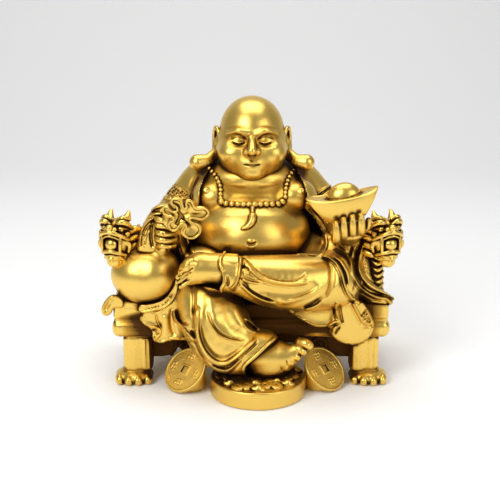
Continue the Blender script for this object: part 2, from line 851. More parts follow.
class Shader:
    """A material's node tree with one Principled shader."""

    def __init__(self, name: str) -> None:
        """Makes an empty metal material."""
        self.material = bpy.data.materials.new(name)
        self.material.use_nodes = True
        self.tree = self.material.node_tree
        self.principled = next(n for n in self.tree.nodes if n.type == "BSDF_PRINCIPLED")

    def node(self, kind: str, settings: dict, inputs: dict, output: int | str = 0) -> Socket:
        """Adds a node.

        Args:
            kind: The node's type.
            settings: Its settings, set first; "stops" holds a ramp's places and colours.
            inputs: Values or sockets by input name or number.
            output: The output to return.

        Returns:
            The wrapped output socket.
        """
        node = self.tree.nodes.new(kind)
        for key, value in settings.items():
            if key == "stops":
                self._stops(node, value)
            else:
                setattr(node, key, value)
        for key, value in inputs.items():
            self.feed(node.inputs[key], value)
        return Socket(self, node.outputs[output])

    @staticmethod
    def _stops(node: bpy.types.Node, stops: Sequence[tuple[float, Vec]]) -> None:
        """Sets the stops of a ramp."""
        elements = node.color_ramp.elements
        while len(elements) < len(stops):
            elements.new(1.0)
        for element, (place, colour) in zip(elements, stops):
            element.position = place
            element.color = (*colour, 1.0)

    def feed(self, socket: bpy.types.NodeSocket, value: "Socket | float | Sequence[float]") -> None:
        """Links a socket to another or sets its value."""
        if isinstance(value, Socket):
            self.tree.links.new(value.socket, socket)
        else:
            socket.default_value = value

    def surface(self, name: str, value: "Socket | float | Sequence[float]") -> None:
        """Sets or links one of the Principled shader's sockets."""
        self.feed(self.principled.inputs[name], value)

    def attribute(self, name: str) -> Socket:
        """Reads a number that the mesh carries at each point."""
        return self.node("ShaderNodeAttribute", {"attribute_name": name}, {}, "Fac")

    def place(self) -> Socket:
        """Returns the place on the object, in metres."""
        return self.node("ShaderNodeTexCoord", {}, {}, "Object")

    def noise(self, scale: float, detail: float = 3.0, roughness: float = 0.55) -> Socket:
        """Returns a cloudy value between 0 and 1, with scale as patches per metre."""
        inputs = {"Vector": self.place(), "Scale": scale, "Detail": detail, "Roughness": roughness}
        return self.node("ShaderNodeTexNoise", {}, inputs, "Fac")


@dataclass(frozen=True)
class Brass:
    """Cast brass: bright where it is rubbed, and dark brown in its recesses."""

    name: str
    slot: str
    bright: Vec = (0.85, 0.57, 0.125)
    amber: Vec = (0.53, 0.29, 0.04)
    brown: Vec = (0.085, 0.036, 0.009)
    shades: Vec = (0.08, 0.30, 0.70)
    cloud_scale: float = 60.0
    speck_scale: float = 420.0
    roughness: float = 0.31
    patina: float = 1.0
    grain: float = 0.12
    grain_scale: float = 900.0
    grain_depth: float = 0.00096

    def material(self) -> bpy.types.Material:
        """Builds the material."""
        shader = Shader(self.name)
        cavity = shader.attribute("cavity")
        clouds = shader.noise(self.cloud_scale, 4.0)
        specks = shader.noise(self.speck_scale, 2.0)
        dirt = (cavity * (1.35 * self.patina) + (clouds - 0.5) * 0.20 + (specks - 0.5) * 0.08).clamp()
        stops = tuple(zip(self.shades, (self.bright, self.amber, self.brown)))
        ramp = shader.node("ShaderNodeValToRGB", {"stops": stops}, {"Fac": dirt}, "Color")
        shader.surface("Base Color", ramp)
        shader.surface("Metallic", 1.0)
        shader.surface("Roughness", (dirt * 0.42 + clouds * 0.08 + (self.roughness - 0.04)).clamp())
        grain = shader.noise(self.grain_scale, 3.0, 0.6)
        bump = {"Strength": self.grain, "Distance": self.grain_depth, "Height": grain}
        shader.surface("Normal", shader.node("ShaderNodeBump", {}, bump, "Normal"))
        return shader.material


# Casting


@dataclass
class Yard:
    """All the clays of the ornament, for the shade that they cast on each other."""

    clays: list[Clay] = field(default_factory=list)

    def cavity(self, own: Clay, points: Array, normals: Array, shelter: float) -> Array:
        """Returns how closed in each surface point is, from 0 to 1.

        Args:
            own: The clay that the points lie on.
            points: The surface points, in millimetres.
            normals: Their outward normals.
            shelter: The weight of what lies above and in front of a point.

        Returns:
            One value a point.
        """
        shade = np.zeros(len(points), np.float32)
        others = self.clays if any(clay is own for clay in self.clays) else [own]
        under_lap = np.clip((LAP_REACH - np.abs(points[:, 0])) / LAP_FADE, 0, 1)
        sheltered = ((SHELTER_DISTANCE, shelter, SHELTER_LIFT),) if shelter else ()
        for away, weight, lift in (*PROBES, *sheltered):
            toward = normals + (0.0, 0.0, lift)
            there = points + toward * (away / np.maximum(np.linalg.norm(toward, axis=1), 1e-6)[:, None])
            gap = np.full(len(points), FAR, np.float32)
            for clay in others:
                low = np.array([axis[0] for axis in clay.axes])
                high = np.array([axis[-1] for axis in clay.axes])
                near = np.flatnonzero(((there >= low) & (there <= high)).all(1))
                if len(near):
                    gap[near] = np.minimum(gap[near], clay.sample(there[near]))
            shade += weight * np.clip(1 - gap / away, 0, 1) ** 1.3 * (under_lap if lift else 1.0)
        return np.clip(shade, 0, 1)


YARD = Yard()


@dataclass
class Casting:
    """One visible piece: a clay with its node and finish."""

    name: str
    node: str
    finish: Brass
    budget: int
    clay: Clay
    place: Matrix | None = None
    shelter: float = 0.0

    def cast(self) -> bpy.types.Object:
        """Cuts the surface out, thins it to its budget, dresses it and places it."""
        points, quads = self.clay.skin()
        mesh = mesh_of(self.name, points, quads)
        faces = 2 * len(quads)
        if faces > self.budget:
            mesh = thinned(mesh, self.budget / faces)
            evened(mesh, LONGEST_EDGE)
        count = len(mesh.vertices)
        flat = np.empty(count * 3, np.float32)
        mesh.vertices.foreach_get("co", flat)
        points = self.clay.settle(flat.reshape(-1, 3).astype(float), 2)
        normals = self.clay.gradient(points, 0.8)
        normals /= np.maximum(np.linalg.norm(normals, axis=1), 1e-6)[:, None]
        cavity = YARD.cavity(self.clay, points, normals, self.shelter)
        return self.dress(mesh, points, normals, cavity)

    def dress(
        self, mesh: bpy.types.Mesh, points: Array, normals: Array, cavity: Array
    ) -> bpy.types.Object:
        """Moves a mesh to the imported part's frame and gives it its normals, shade and finish."""
        points, normals = settled_in_row(points, normals, self.place)
        mesh.vertices.foreach_set("co", points.astype(np.float32).ravel())
        attribute = mesh.attributes.new("cavity", "FLOAT", "POINT")
        attribute.data.foreach_set("value", cavity.astype(np.float32))
        mesh.polygons.foreach_set("use_smooth", np.ones(len(mesh.polygons), bool))
        mesh.update()
        mesh.normals_split_custom_set_from_vertices(normals.astype(np.float32).tolist())
        mesh.materials.append(finish_of(self.finish))
        piece = linked(self.name, mesh)
        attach(piece, "root")
        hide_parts(self.node)
        log.info("%s: %d triangles for %s", self.name, triangles(mesh), self.node)
        return piece


def settled_in_row(points: Array, normals: Array, place: Matrix | None) -> tuple[Array, Array]:
    """Moves millimetres from the seat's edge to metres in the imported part's frame."""
    if place is not None:
        turn = np.array(place.to_3x3())
        points = points @ turn.T + np.array(place.translation)
        normals = normals @ turn.T
    return (points + SEAT_IN_ROW) / MM, normals


def seat_in_row() -> Array:
    """Returns where the seat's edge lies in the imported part's frame, from the stand's box."""
    low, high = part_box("treasure_stand")
    middle = (low + high) * (MM / 2)
    return np.array([middle.x - STAND_CENTRE[0], middle.y - STAND_CENTRE[1], low.z * MM + SEAT_HEIGHT])


SEAT_IN_ROW = seat_in_row()
FINISHES: dict[str, bpy.types.Material] = {}


def finish_of(finish: Brass) -> bpy.types.Material:
    """Returns the finish's material, made once."""
    if finish.name not in FINISHES:
        FINISHES[finish.name] = finish.material()
    return FINISHES[finish.name]


def linked(name: str, data: bpy.types.ID) -> bpy.types.Object:
    """Returns a new object in the scene with the given data."""
    item = bpy.data.objects.new(name, data)
    bpy.context.scene.collection.objects.link(item)
    return item


def triangles(mesh: bpy.types.Mesh) -> int:
    """Returns how many triangles a mesh has."""
    return len(mesh.loops) - 2 * len(mesh.polygons)


def mesh_of(name: str, points: Array, faces: Array) -> bpy.types.Mesh:
    """Makes a mesh from points and faces that all have the same number of corners."""
    mesh = bpy.data.meshes.new(name)
    mesh.vertices.add(len(points))
    mesh.vertices.foreach_set("co", points.astype(np.float32).ravel())
    corners = faces.shape[1]
    mesh.loops.add(faces.size)
    mesh.loops.foreach_set("vertex_index", faces.astype(np.int32).ravel())
    mesh.polygons.add(len(faces))
    mesh.polygons.foreach_set("loop_start", np.arange(0, faces.size, corners, dtype=np.int32))
    mesh.update(calc_edges=True)
    return mesh


def thinned(mesh: bpy.types.Mesh, ratio: float) -> bpy.types.Mesh:
    """Returns the mesh with only a share of its triangles."""
    holder = linked("thinning", mesh)
    modifier = holder.modifiers.new("Decimate", "DECIMATE")
    modifier.ratio = ratio
    modifier.use_collapse_triangulate = True
    result = bpy.data.meshes.new_from_object(holder.evaluated_get(bpy.context.evaluated_depsgraph_get()))
    bpy.data.objects.remove(holder)
    bpy.data.meshes.remove(mesh)
    return result


def doubled(mesh: bpy.types.Mesh) -> list[int]:
    """Returns the triangles that lie back to back on the same three points."""
    corners = np.empty(len(mesh.loops), np.int32)
    mesh.loops.foreach_get("vertex_index", corners)
    digits = np.array([1, 1 << CORNER_BITS, 1 << 2 * CORNER_BITS])
    keys = np.sort(corners.reshape(-1, 3).astype(np.int64), axis=1) @ digits
    _, place, count = np.unique(keys, return_inverse=True, return_counts=True)
    return np.flatnonzero(count[place] > 1).tolist()


def evened(mesh: bpy.types.Mesh, longest: float) -> None:
    """Takes out doubled faces and halves long edges, so that broad flats have points for the shade."""
    twins = doubled(mesh)
    work = bmesh.new()
    work.from_mesh(mesh)
    work.faces.ensure_lookup_table()
    bmesh.ops.delete(work, geom=[work.faces[index] for index in twins], context="FACES")
    for _ in range(HALVINGS):
        far = [edge for edge in work.edges if edge.calc_length() > longest]
        if not far:
            break
        bmesh.ops.subdivide_edges(work, edges=far, cuts=1)
        bmesh.ops.triangulate(work, faces=[face for face in work.faces if len(face.verts) > 3])
    work.to_mesh(mesh)
    work.free()
    if mesh.validate():
        log.info("%s: mended after thinning", mesh.name)


def shaped(low: Vec, high: Vec, cell: float, forms: Forms) -> Clay:
    """Makes a clay of forms, each with the width of its seam, and enters it in the yard."""
    clay = Clay(low, high, cell)
    for form, blend in forms:
        clay.add(form, blend)
    YARD.clays.append(clay)
    return clay


POLISHED = Brass("polished_brass", "polished_brass")
CHAIR_BRASS = Brass("chair_brass", "chair_brass", roughness=0.27, patina=1.15)
COIN_BRASS = Brass("coin_brass", "coin_brass", roughness=0.36, grain=0.5, grain_scale=1500.0)


def figure_part(name: str, budget: int, clay: Clay, place: Matrix | None = None) -> Casting:
    """Returns a casting that belongs to the figure."""
    return Casting(name, "budai_figure", POLISHED, budget, clay, place)


def mirror(side: int, *spots: Vec) -> list[Vec]:
    """Returns the spots, given for the viewer's right, on one side of a middle."""
    return [(side * x, y, z) for x, y, z in spots]


# Figure


@dataclass
class Head:
    """The bald head with a calm, plain face and long ears."""

    middle: float = 1.0
    block: Box = ((-66, 14, 108), (68, 112, 203))
    cell: float = 0.5
    budget: int = 80_000

    def at(self, side: float, x: float, y: float, z: float) -> Vec:
        """Returns a place on one side of the head's middle."""
        return (self.middle + side * x, y, z)

    def row(self, side: float, *spots: Vec) -> list[Vec]:
        """Returns several places on one side of the head's middle."""
        return [self.at(side, *spot) for spot in spots]

    def skull(self) -> Forms:
        """Returns the crown, cheeks, chin and neck."""
        at = self.at
        forms = [
            (Egg((1, 70, 164), (32.5, 36, 35)), 0),
            (Egg((1, 60, 146), (36.5, 33, 25)), 12),
            (Egg((1, 50, 132), (26, 24, 13)), 9),
            (Egg((1, 66, 124), (37, 34, 18)), 5),
            (Egg((1, 29, 129.5), (10, 7, 6)), 8),
        ]
        for side in (-1, 1):
            forms.append((Egg(at(side, 19, 39, 147), (13, 12, 11)), 10))
        return forms

    def features(self, clay: Clay) -> None:
        """Models the brows, eyes, nose and lips."""
        at = self.at
        for side in (-1, 1):
            clay.cut(Egg(at(side, 13.5, 30, 161.5), (9.5, 5.5, 5.5)), 5)
            clay.add(Egg(at(side, 13, 39.5, 160.6), (8.2, 6.6, 6.2)), 1.6)
            brow = self.row(side, (4.5, 33.2, 167.6), (13, 34, 170.4), (24, 42, 167))
            clay.add(Limb(brow, (2, 2.4, 1.4)), 4.5)
            crease = self.row(side, (6, 34.6, 163), (13, 32.6, 165.2), (20.5, 36.6, 162.6))
            clay.cut(Limb(crease, (0.5, 0.7, 0.4)), 1.6)
            lash = self.row(side, (5.6, 35, 158.8), (12.6, 32.4, 158), (20.6, 36.4, 159.2))
            clay.cut(Limb(lash, (0.5, 0.75, 0.5)), 0.9)
            clay.add(Limb([(x, y - 0.3, z + 1) for x, y, z in lash], (0.5, 0.8, 0.5)), 1.2)
        bridge = [(1, 36.5, 167), (1, 29.5, 158.5), (1, 23.8, 152.4)]
        clay.add(Limb(bridge, (3, 3.5, 4.8)), 4)
        for side in (-1, 1):
            clay.add(Egg(at(side, 5.4, 27.4, 150.8), (3.7, 4.4, 3.3)), 2)
            clay.cut(Egg(at(side, 2.9, 24, 147.6), (1.5, 2, 1.2)), 1)
        clay.add(Egg((1, 30, 139), (13, 7, 8)), 7)
        clay.cut(Limb([(1, 22.2, 147), (1, 22.6, 142.5)], (0.7, 0.9)), 2.2)
        upper = [(-10, 28.2, 139.4), (-4, 24.4, 141), (1, 23.4, 140.4), (6, 24.4, 141), (12, 28.2, 139.4)]
        clay.add(Limb(upper, (0.9, 1.6, 1.7, 1.6, 0.9)), 1.6)
        lower = [(-8.4, 28, 137.6), (-3.5, 24.2, 136.2), (1, 23.2, 135.8), (5.5, 24.2, 136.2), (10.4, 28, 137.6)]
        clay.add(Limb(lower, (1, 1.9, 2.1, 1.9, 1)), 1.6)
        parting = [(-11.5, 28.2, 139.4), (-4.5, 23, 138.6), (1, 21.6, 138.3), (6.5, 23, 138.6), (13.5, 28.2, 139.4)]
        clay.cut(Limb(parting, (0.5, 0.7, 0.8, 0.7, 0.5)), 1)
        clay.cut(Limb([(-7, 27.2, 132.8), (1, 25.2, 132.2), (9, 27.2, 132.8)], (0.8, 1.4, 0.8)), 4)

    def ears(self, clay: Clay) -> None:
        """Models the ears, whose lobes lie out on the shoulders."""
        at = self.at
        for side in (-1, 1):
            body = self.row(side, (31, 68, 162), (34, 68, 152), (35, 65, 144), (40, 60, 137))
            clay.add(Limb(body, (3, 4.4, 4.4, 4.6)), 3)
            rim = self.row(
                side, (31, 60, 158), (34, 62, 165), (36.5, 68, 167), (38, 73, 160), (38, 71, 150), (38.5, 66, 142),
                (43, 60, 136),
            )
            clay.add(Limb(rim, (1.8, 2, 2.2, 2.4, 2.6, 3.2, 4.5)), 1.2)
            lobe = self.row(side, (38, 62, 141), (45, 57, 135.5), (55, 54.5, 134))
            clay.add(Limb(lobe, (5.2, 6.6, 8.4)), 3)
            clay.cut(Egg(at(side, 37.2, 62, 155), (2.6, 3, 6), (0, side * 8, 0)), 1.6)

    def clay(self) -> Clay:
        """Returns the head's clay."""
        clay = shaped(*self.block, self.cell, self.skull())
        self.ears(clay)
        self.features(clay)
        return clay

    def pieces(self) -> list[Casting]:
        """Returns the head's castings."""
        return [figure_part("head", self.budget, self.clay())]


@dataclass
class Torso:
    """The bare chest and belly between the robe's fronts."""

    block: Box = ((-79, -10, 0), (82, 118, 146))
    cell: float = 0.8
    budget: int = 60_000
    opening: Sequence[Flat] = (
        (-36, 146), (-42, 136), (-48, 126), (-51.5, 115), (-50.5, 104), (-52, 92), (-58, 78), (-63, 62), (-62, 44),
        (-40, 36), (0, 34), (40, 36), (66, 46), (72.5, 58), (70.5, 72), (62, 88), (54, 97), (55.5, 106), (54, 118),
        (47, 132), (40, 146),
    )

    @staticmethod
    def forms(grow: float) -> Forms:
        """Returns the trunk's masses, each grown by the same amount."""
        eggs = [
            (Egg((0, 82, 36), (74, 44, 46)), 0),
            (Egg((-1, 56, 60), (61.5, 58, 49)), 10),
            (Egg((0, 72, 101), (60, 41, 34)), 7),
            (Egg((-38, 46, 101), (20, 18, 15), (0, 0, -20)), 7),
            (Egg((44, 46, 102), (20, 18, 15), (0, 0, 20)), 7),
            (Egg((0, 64, 121), (44, 36, 18)), 9),
        ]
        return [(replace(egg, radii=tuple(r + grow for r in egg.radii)), blend) for egg, blend in eggs]

    def clay(self) -> Clay:
        """Returns the trunk's clay."""
        clay = shaped(*self.block, self.cell, self.forms(0))
        strokes = [
            groove([(-30, 92), (-10, 95), (12, 95), (36, 91)], 5, 0.7, 14),
            ridge([(-26, 124), (-12, 121), (-2, 120)], 4, 0.6, 8),
            ridge([(28, 124), (14, 121), (4, 120)], 4, 0.6, 8),
            groove([(-5.4, 64.4), (-2.6, 61.4), (1.6, 60.8), (6.2, 64.2)], 1.7, 1.7, 2),
            ridge([(-5, 60.4), (0, 57.6), (5.8, 60.4)], 2.2, 0.7, 3),
            ridge([(-3, 65.2), (0.4, 64.2), (3.8, 65.2)], 2.4, 0.9, 2),
        ]
        clay.level(1, BACK_LIMIT - 4, True, 8).raise_relief(Relief().draw(strokes))
        for u, v in ((-44.6, 113.6), (50.2, 113.2)):
            tip = drop_on([clay], (u, v))
            clay.add(Egg(tuple(tip + np.array([0, 1.4, 0])), (4.2, 2.2, 4.2)), 1.5)
            clay.add(Egg(tuple(tip), (1.9, 1.9, 1.9)), 0.8)
        return clay

    def pieces(self) -> list[Casting]:
        """Returns the trunk's castings."""
        return [figure_part("torso", self.budget, self.clay())]


def drop_on(clays: Sequence[Clay], spot: Flat) -> Array:
    """Returns the first surface point that the eye sees at a spot of the picture."""
    ray = SIGHT.rays(np.array([spot[0]]), np.array([spot[1]]))
    depth = min(float(clay.march(ray)[0]) for clay in clays)
    return SIGHT.eye + ray[0] * depth


@dataclass
class Robe:
    """The open robe: shoulders, sleeves, covered legs and the skirts over the seat's edge."""

    thickness: float = 2.6
    upper_block: Box = ((-122, -12, 14), (130, 124, 145))
    lower_block: Box = ((-152, -74, -92), (152, 120, 70))
    upper_cell: float = 0.75
    lower_cell: float = 0.8
    upper_budget: int = 110_000
    lower_budget: int = 175_000

    def sleeves(self) -> Forms:
        """Returns the shoulders and both sleeves."""
        left = [(-48, 84, 108), (-66, 80, 86), (-88, 64, 54), (-88, 36, 62), (-86, 14, 73)]
        right = [(48, 84, 108), (67, 80, 88), (92, 66, 62), (98, 36, 60), (97, 14, 66)]
        fall = [(92, 30, 60), (98, 20, 48), (100, 14, 40)]
        curtain = [
            (-84, 102), (-91, 101), (-97.6, 97), (-103, 90), (-108, 79), (-111.4, 68), (-113, 54), (-104, 50),
            (-92, 50), (-80, 60), (-78, 90),
        ]
        return [
            (Egg((0, 92, 60), (84, 26, 66)), 8),
            (Egg((0, 86, 107), (69, 34, 25)), 8),
            (Limb(left, (22, 23, 25, 22, 19), 8), 10),
            (Limb(right, (22, 22, 22, 18, 13), 8), 10),
            (Limb(fall, (16, 15, 12), 6), 10),
            (Limb([(-66, 30, 62), (-67, 18, 52)], (10, 9), 6), 8),
            (Veil(curtain, -5, 30, 5), 6),
        ]

    def upper_strokes(self) -> list[Stroke]:
        """Returns the hems, borders and folds above the waist."""
        near_side = [
            hem([(-53, 90), (-52.4, 101), (-52, 110), (-48.5, 120), (-43, 128), (-38.5, 135)], 9, 2.6, bead=1.6),
            groove([(-50, 132), (-55.5, 121), (-58.5, 110), (-58, 101)], 2.4, 1.5),
            ridge([(-58, 133), (-63, 122), (-64, 112)], 4, 0.9, 8),
            hem([(-92, 109.4), (-86, 107), (-80, 105), (-70, 106), (-59, 107)], 8, 2.4, 3, 1.2),
            groove([(-82, 122.5), (-75, 120.4), (-68, 116.6), (-62, 111)], 1.2, 1.1, 3),
            ridge([(-101, 95), (-96, 98.3), (-90, 99.7), (-84, 99.6)], 2.6, 2.6, 3),
            groove([(-100.5, 92.4), (-95, 95), (-89, 96.2)], 1.6, 1.8, 3),
            ridge([(-100, 89.8), (-94, 91.8), (-88.5, 92.2)], 2, 2, 3),
            groove([(-104, 86.6), (-98, 88.8), (-91, 90.6)], 1.5, 1.8, 3),
            hem([
                (-110.5, 58), (-110, 68), (-108, 76), (-104, 82), (-98, 86.4), (-92, 89.2), (-85, 90.4),
            ], 6, 3.2, 3, 1.6),
            groove([(-106.5, 58), (-105.5, 66), (-103, 74), (-99, 81), (-94.5, 86)], 1.3, 1.5, 3),
            groove([(-98.5, 83), (-100, 74), (-99.6, 64), (-98, 57)], 2.2, 2.4, 4),
            ridge([(-71, 73), (-70, 62), (-67.4, 54), (-64, 46)], 2.4, 2.4, 4),
            groove([(-66.5, 71), (-65.4, 60), (-61.5, 52), (-58.5, 47)], 1.9, 2.2, 4),
            ridge([(-62.5, 66), (-60, 57), (-56, 51)], 2.2, 1.8, 4),
            groove([(-75, 63), (-73.6, 54), (-70.5, 46)], 2, 2.2, 4),
        ]
        far_side = [
            hem([(41, 137), (47, 130), (51.5, 121), (54.8, 113), (55.6, 106), (53, 98)], 9, 2.4, bead=1.5),
            groove([(50, 128), (54.8, 119), (58, 111.5)], 1.3, 1),
            ridge([(61, 107.4), (69.5, 113.8), (78, 119.6), (83, 122)], 1.5, 1.8, 3),
            groove([(63.5, 107), (71.5, 112.6), (81, 119.4)], 1.1, 1.4, 3),
            ridge([(66, 106.4), (75, 112.4), (84, 118.6)], 1.3, 1.2, 3),
            hem([(53, 98), (61, 89), (69, 77), (74, 68), (74.6, 61), (72, 55), (66, 50.5)], 6, 2.6, bead=1.4),
            groove([(59, 99), (66, 90.6), (74, 79), (79.6, 67)], 1.4, 1.2),
            groove([(68, 96), (74, 88), (80, 78)], 1.3, 1),
            ridge([(104.5, 61), (103.6, 52), (104, 44)], 1.7, 1.6, 3),
            groove([(101, 61), (100, 54), (98, 47)], 2, 2.2, 3),
            ridge([(88, 62), (93, 57.5), (97, 52)], 1.6, 1.2, 3),
        ]
        return near_side + far_side

    def upper(self, relief: Relief) -> Clay:
        """Returns the clay of the shoulders and sleeves."""
        trunk = Torso.forms(self.thickness)
        clay = shaped(*self.upper_block, self.upper_cell, [*trunk, *self.sleeves()])
        clay.cut(Veil(Torso().opening, -60, 84, 1.2), 0.8)
        return clay.level(1, BACK_LIMIT, True, 8).raise_relief(relief, 9)

    def legs(self) -> Forms:
        """Returns the covered legs."""
        crossed = [(82, 4, 26), (52, -8, 27), (18, -15, 31), (-6, -19, 37), (-21, -21, 39)]
        lowered = [(-44, 4, 8), (-38, -8, -8), (-23, -20, -31), (-6, -25, -38), (10, -26, -37)]
        cuff = [(-6, -19, 38.5), (-18, -21, 40.5), (-34, -22, 42)]
        return [
            (Egg((0, 82, 34), (76, 44, 40)), 0),
            (Limb([(44, 78, 30), (70, 36, 27), (80, 8, 25)], (32, 30, 28), 10), 12),
            (Limb([(-45, 78, 30), (-46, 30, 24), (-47, 4, 12)], (32, 31, 28), 10), 12),
            (Limb([(-66, 60, 20), (-72, 30, 14), (-72, 8, 8)], (24, 20, 15), 8), 10),
            (Limb(lowered, (28, 33, 31, 24.5, 21), 6), 9),
            (Limb(crossed, (28, 28, 25.5, 20, 15.5), 6), 7),
            (Limb(cuff, (16.5, 17.8, 18.6), 5), 2.5),
            (Egg((-46, 12, 46), (22, 16, 11)), 6),
        ]

    def skirts(self) -> Forms:
        """Returns the loose cloth over the seat and its front edge."""
        inner = [(82, 26, 56), (90, 12, 45), (95.5, 4, 24), (101, -1, 8)]
        outer = [(104, 24, 58), (108, 16, 42), (112, 9, 24), (124, 6, 11), (139, 3, 4)]
        flap = [
            (84, 4), (80, -10), (77.5, -24), (84, -33), (92, -37.5), (101, -39), (111, -36.5), (119, -30), (123, -20),
            (121, -10), (115, 0), (100, 8),
        ]
        fall = [
            (30, 2), (38, -7), (46, -12), (53, -16.5), (61, -20.5), (69, -21.8), (78, -20), (85, -17), (90, -10),
            (88, 4), (60, 8),
        ]
        left = [
            (-93, -5), (-75, 6), (-60, 2), (-50, -8), (-46, -33), (-62, -33.8), (-75, -34.2), (-84, -35.5),
            (-90, -37.6), (-98, -34), (-97, -28), (-100, -22), (-107, -19), (-111, -13), (-107, -7),
        ]
        band = [
            (-111, 0.5), (-103, 1.6), (-90, 5.2), (-82.4, 11), (-78, 19.5), (-75.5, 24), (-72.4, 22), (-73, 13),
            (-77, 4.5), (-85, -2.6), (-95.9, -6), (-108, -8), (-112, -5),
        ]
        leaf = [
            (-128, 6), (-133, 10), (-138, 11), (-142.6, 8.6), (-147, 3), (-149.6, -3.4), (-149, -8.6), (-145, -10.6),
            (-140.6, -8.6), (-137, -3), (-128, -2),
        ]
        return [
            (Limb(inner, (13, 11, 8, 5), 4), 5),
            (Limb(outer, (11, 11, 9.5, 6.5, 4), 4), 4),
            (Limb([(88, 26, 28), (110, 16, 10), (134, 10, 1)], (16, 11, 5), 5), 8),
            (Veil(fall, -6.5, 8, 3.4), 3),
            (Veil(flap, -9.5, 8, 5.5), 2),
            (Veil(left, -9, 8, 3.6), 3),
            (Veil(band, -10, 8, 2.4), 1),
            (Limb([(-101, -6, -17), (-95.5, -7, -22.5), (-95.5, -7, -30)], (3.2, 3.8, 3.2), 3), 2),
            (Veil(leaf, -3, 11, 2.8), 1),
        ]

    def leg_strokes(self) -> list[Stroke]:
        """Returns the hems and folds of both covered legs."""
        crossed = [
            hem([
                (-10, 41.5), (-5, 38.5), (0, 34), (6, 29), (13, 25.2), (21.5, 22.4), (30, 20.9), (38, 20.3),
                (47, 20.7), (60, 23.5),
            ], 9, 3, 10, 2),
            groove([
                (-8, 47.4), (-3, 43.6), (2.5, 38.7), (8, 34), (14, 30.2), (20, 27.5), (27, 25.6), (35, 24.6),
                (43, 25), (49.5, 27), (54, 30.6), (55, 34),
            ], 1.4, 1.5, 5),
            groove([(4, 19), (20, 14.5), (38, 13), (54, 15), (68, 22)], 7.5, 2.6, 14),
            ridge([(26, 3), (38, 3.8), (50, 7.4), (62, 12.6), (72, 21)], 3.4, 1.9, 8),
            groove([(-10, 38.4), (-5, 37.9), (-1.8, 36.6)], 2.2, 1.9, 1.5),
            ridge([(-10, 33.6), (-5, 33.2), (-1, 34.6), (0.6, 37)], 1.4, 1.6, 2),
            groove([(-10.5, 31), (-4, 27.3), (2, 25), (10, 24.2)], 2.4, 1.6, 4),
            ridge([(-10.5, 27.2), (-5, 24.4), (1, 22.7), (9, 22.2)], 1.7, 2, 3),
            groove([(-11.5, 26), (-6.5, 21.5), (-0.5, 16), (6, 11.6), (13, 8), (22, 5.2)], 2.6, 1.7, 6),
            ridge([(-11, 21.5), (-5.5, 16.4), (0, 11.6), (8, 6.8), (16, 3.8), (26, 2)], 2.6, 2.6, 5),
            ridge([(-4, 19.8), (2.5, 14.8), (10, 10.8), (18, 7.6), (25, 5.2), (28, 3)], 1.3, 1.5, 3),
            ridge([(52, -4.4), (60, -3.2), (66, -0.6), (72, 5)], 2.6, 3, 5),
            groove([(50, -3.2), (59, 0.8), (66, 4.8), (74, 11)], 2.8, 1.6, 6),
            groove([(74, 48), (79, 39), (80, 27), (77.5, 15), (72, 6)], 3.4, 2.2, 8),
            ridge([(83, 44), (87, 34), (87.5, 24), (84, 13)], 3.2, 1.8, 8),
            ridge([(44, 51.6), (52, 52.8), (60, 51.4), (68, 50.6)], 1.8, 1.8, 4),
            hem([(-20, 15.2), (-15.5, 19.5), (-12.2, 27), (-10.4, 36), (-9, 49)], 10, 3.6, 2, 1.6),
            groove([(-24.6, 31), (-22.8, 26), (-22.8, 22), (-25, 18.4)], 1.6, 1.8, 3),
        ]
        lowered = [
            hem([
                (-4, -35), (-15, -35.2), (-24, -33), (-31, -30), (-36.5, -24.5), (-40.5, -18.5), (-43.5, -11),
                (-44.8, -1),
            ], 10, 2.8, 13, 2.2),
            groove([(-8, -34.2), (-17, -33.4), (-25, -31.2), (-31, -27.8), (-36, -22.4), (-39.6, -16)], 0.9, 0.8, 6),
            hem([
                (-54.6, 2), (-55.8, -10), (-55.6, -20), (-54.8, -30), (-52.4, -38.5), (-49, -46), (-44.4, -52.2),
                (-39, -56.8), (-32.3, -59.8), (-25.5, -59.8), (-19, -56.4), (-11, -50.2), (-3, -43), (3.2, -37),
                (6.8, -31.6),
            ], 6.5, 4, 8, 2.7),
            groove([
                (-53, -12), (-51.6, -22), (-49.6, -30), (-46.8, -37.5), (-42.6, -44), (-38.6, -48.6), (-34, -51.6),
                (-28, -52.6), (-22.5, -51.6), (-16, -48), (-7, -40.6),
            ], 4.2, 1.6, 10),
            hem([
                (-47.5, -50), (-43.4, -57), (-38.4, -61.8), (-32.4, -65.2), (-26, -66.8), (-20, -64.4), (-14, -58.6),
                (-8.6, -52.4),
            ], 6, 2.6, 5, 1.5),
            groove([(-5.6, -15.4), (-2, -19.5), (2, -22.6), (5.8, -24.6)], 2.6, 2.2, 2.5),
            ridge([(-7, -11.8), (-1, -15.8), (4.4, -20), (9, -24.6)], 1.8, 1.8, 3),
            ridge([(-8, -16.6), (-4.8, -21.8), (0, -25), (5.6, -26.4)], 1.7, 1.2, 3),
            ridge([(-40, 20), (-40, 0), (-36, -16), (-31, -25)], 9, 1.8, 14),
            groove([(-27, 14), (-25, -2), (-20, -16), (-10, -28)], 7, 1.4, 12),
            ridge([(-17, 9), (-13, -8), (-6, -20), (1, -28)], 6, 1.2, 9),
            ridge([
                (-78, -3), (-75.8, -12.5), (-71.8, -18.7), (-66.8, -24.7), (-61, -30.8), (-56.4, -36),
            ], 2.3, 2.8, 5),
            groove([(-75, -3), (-72.6, -12.5), (-68.6, -17.4), (-61, -18.6)], 2.1, 2, 4),
            groove([(-57.6, 22), (-57, 10), (-57.4, -2), (-58, -13)], 3, 1.4, 8),
            groove([(-60.5, -24.4), (-58, -28), (-55.8, -32)], 2.1, 2.2, 2),
        ]
        return crossed + lowered

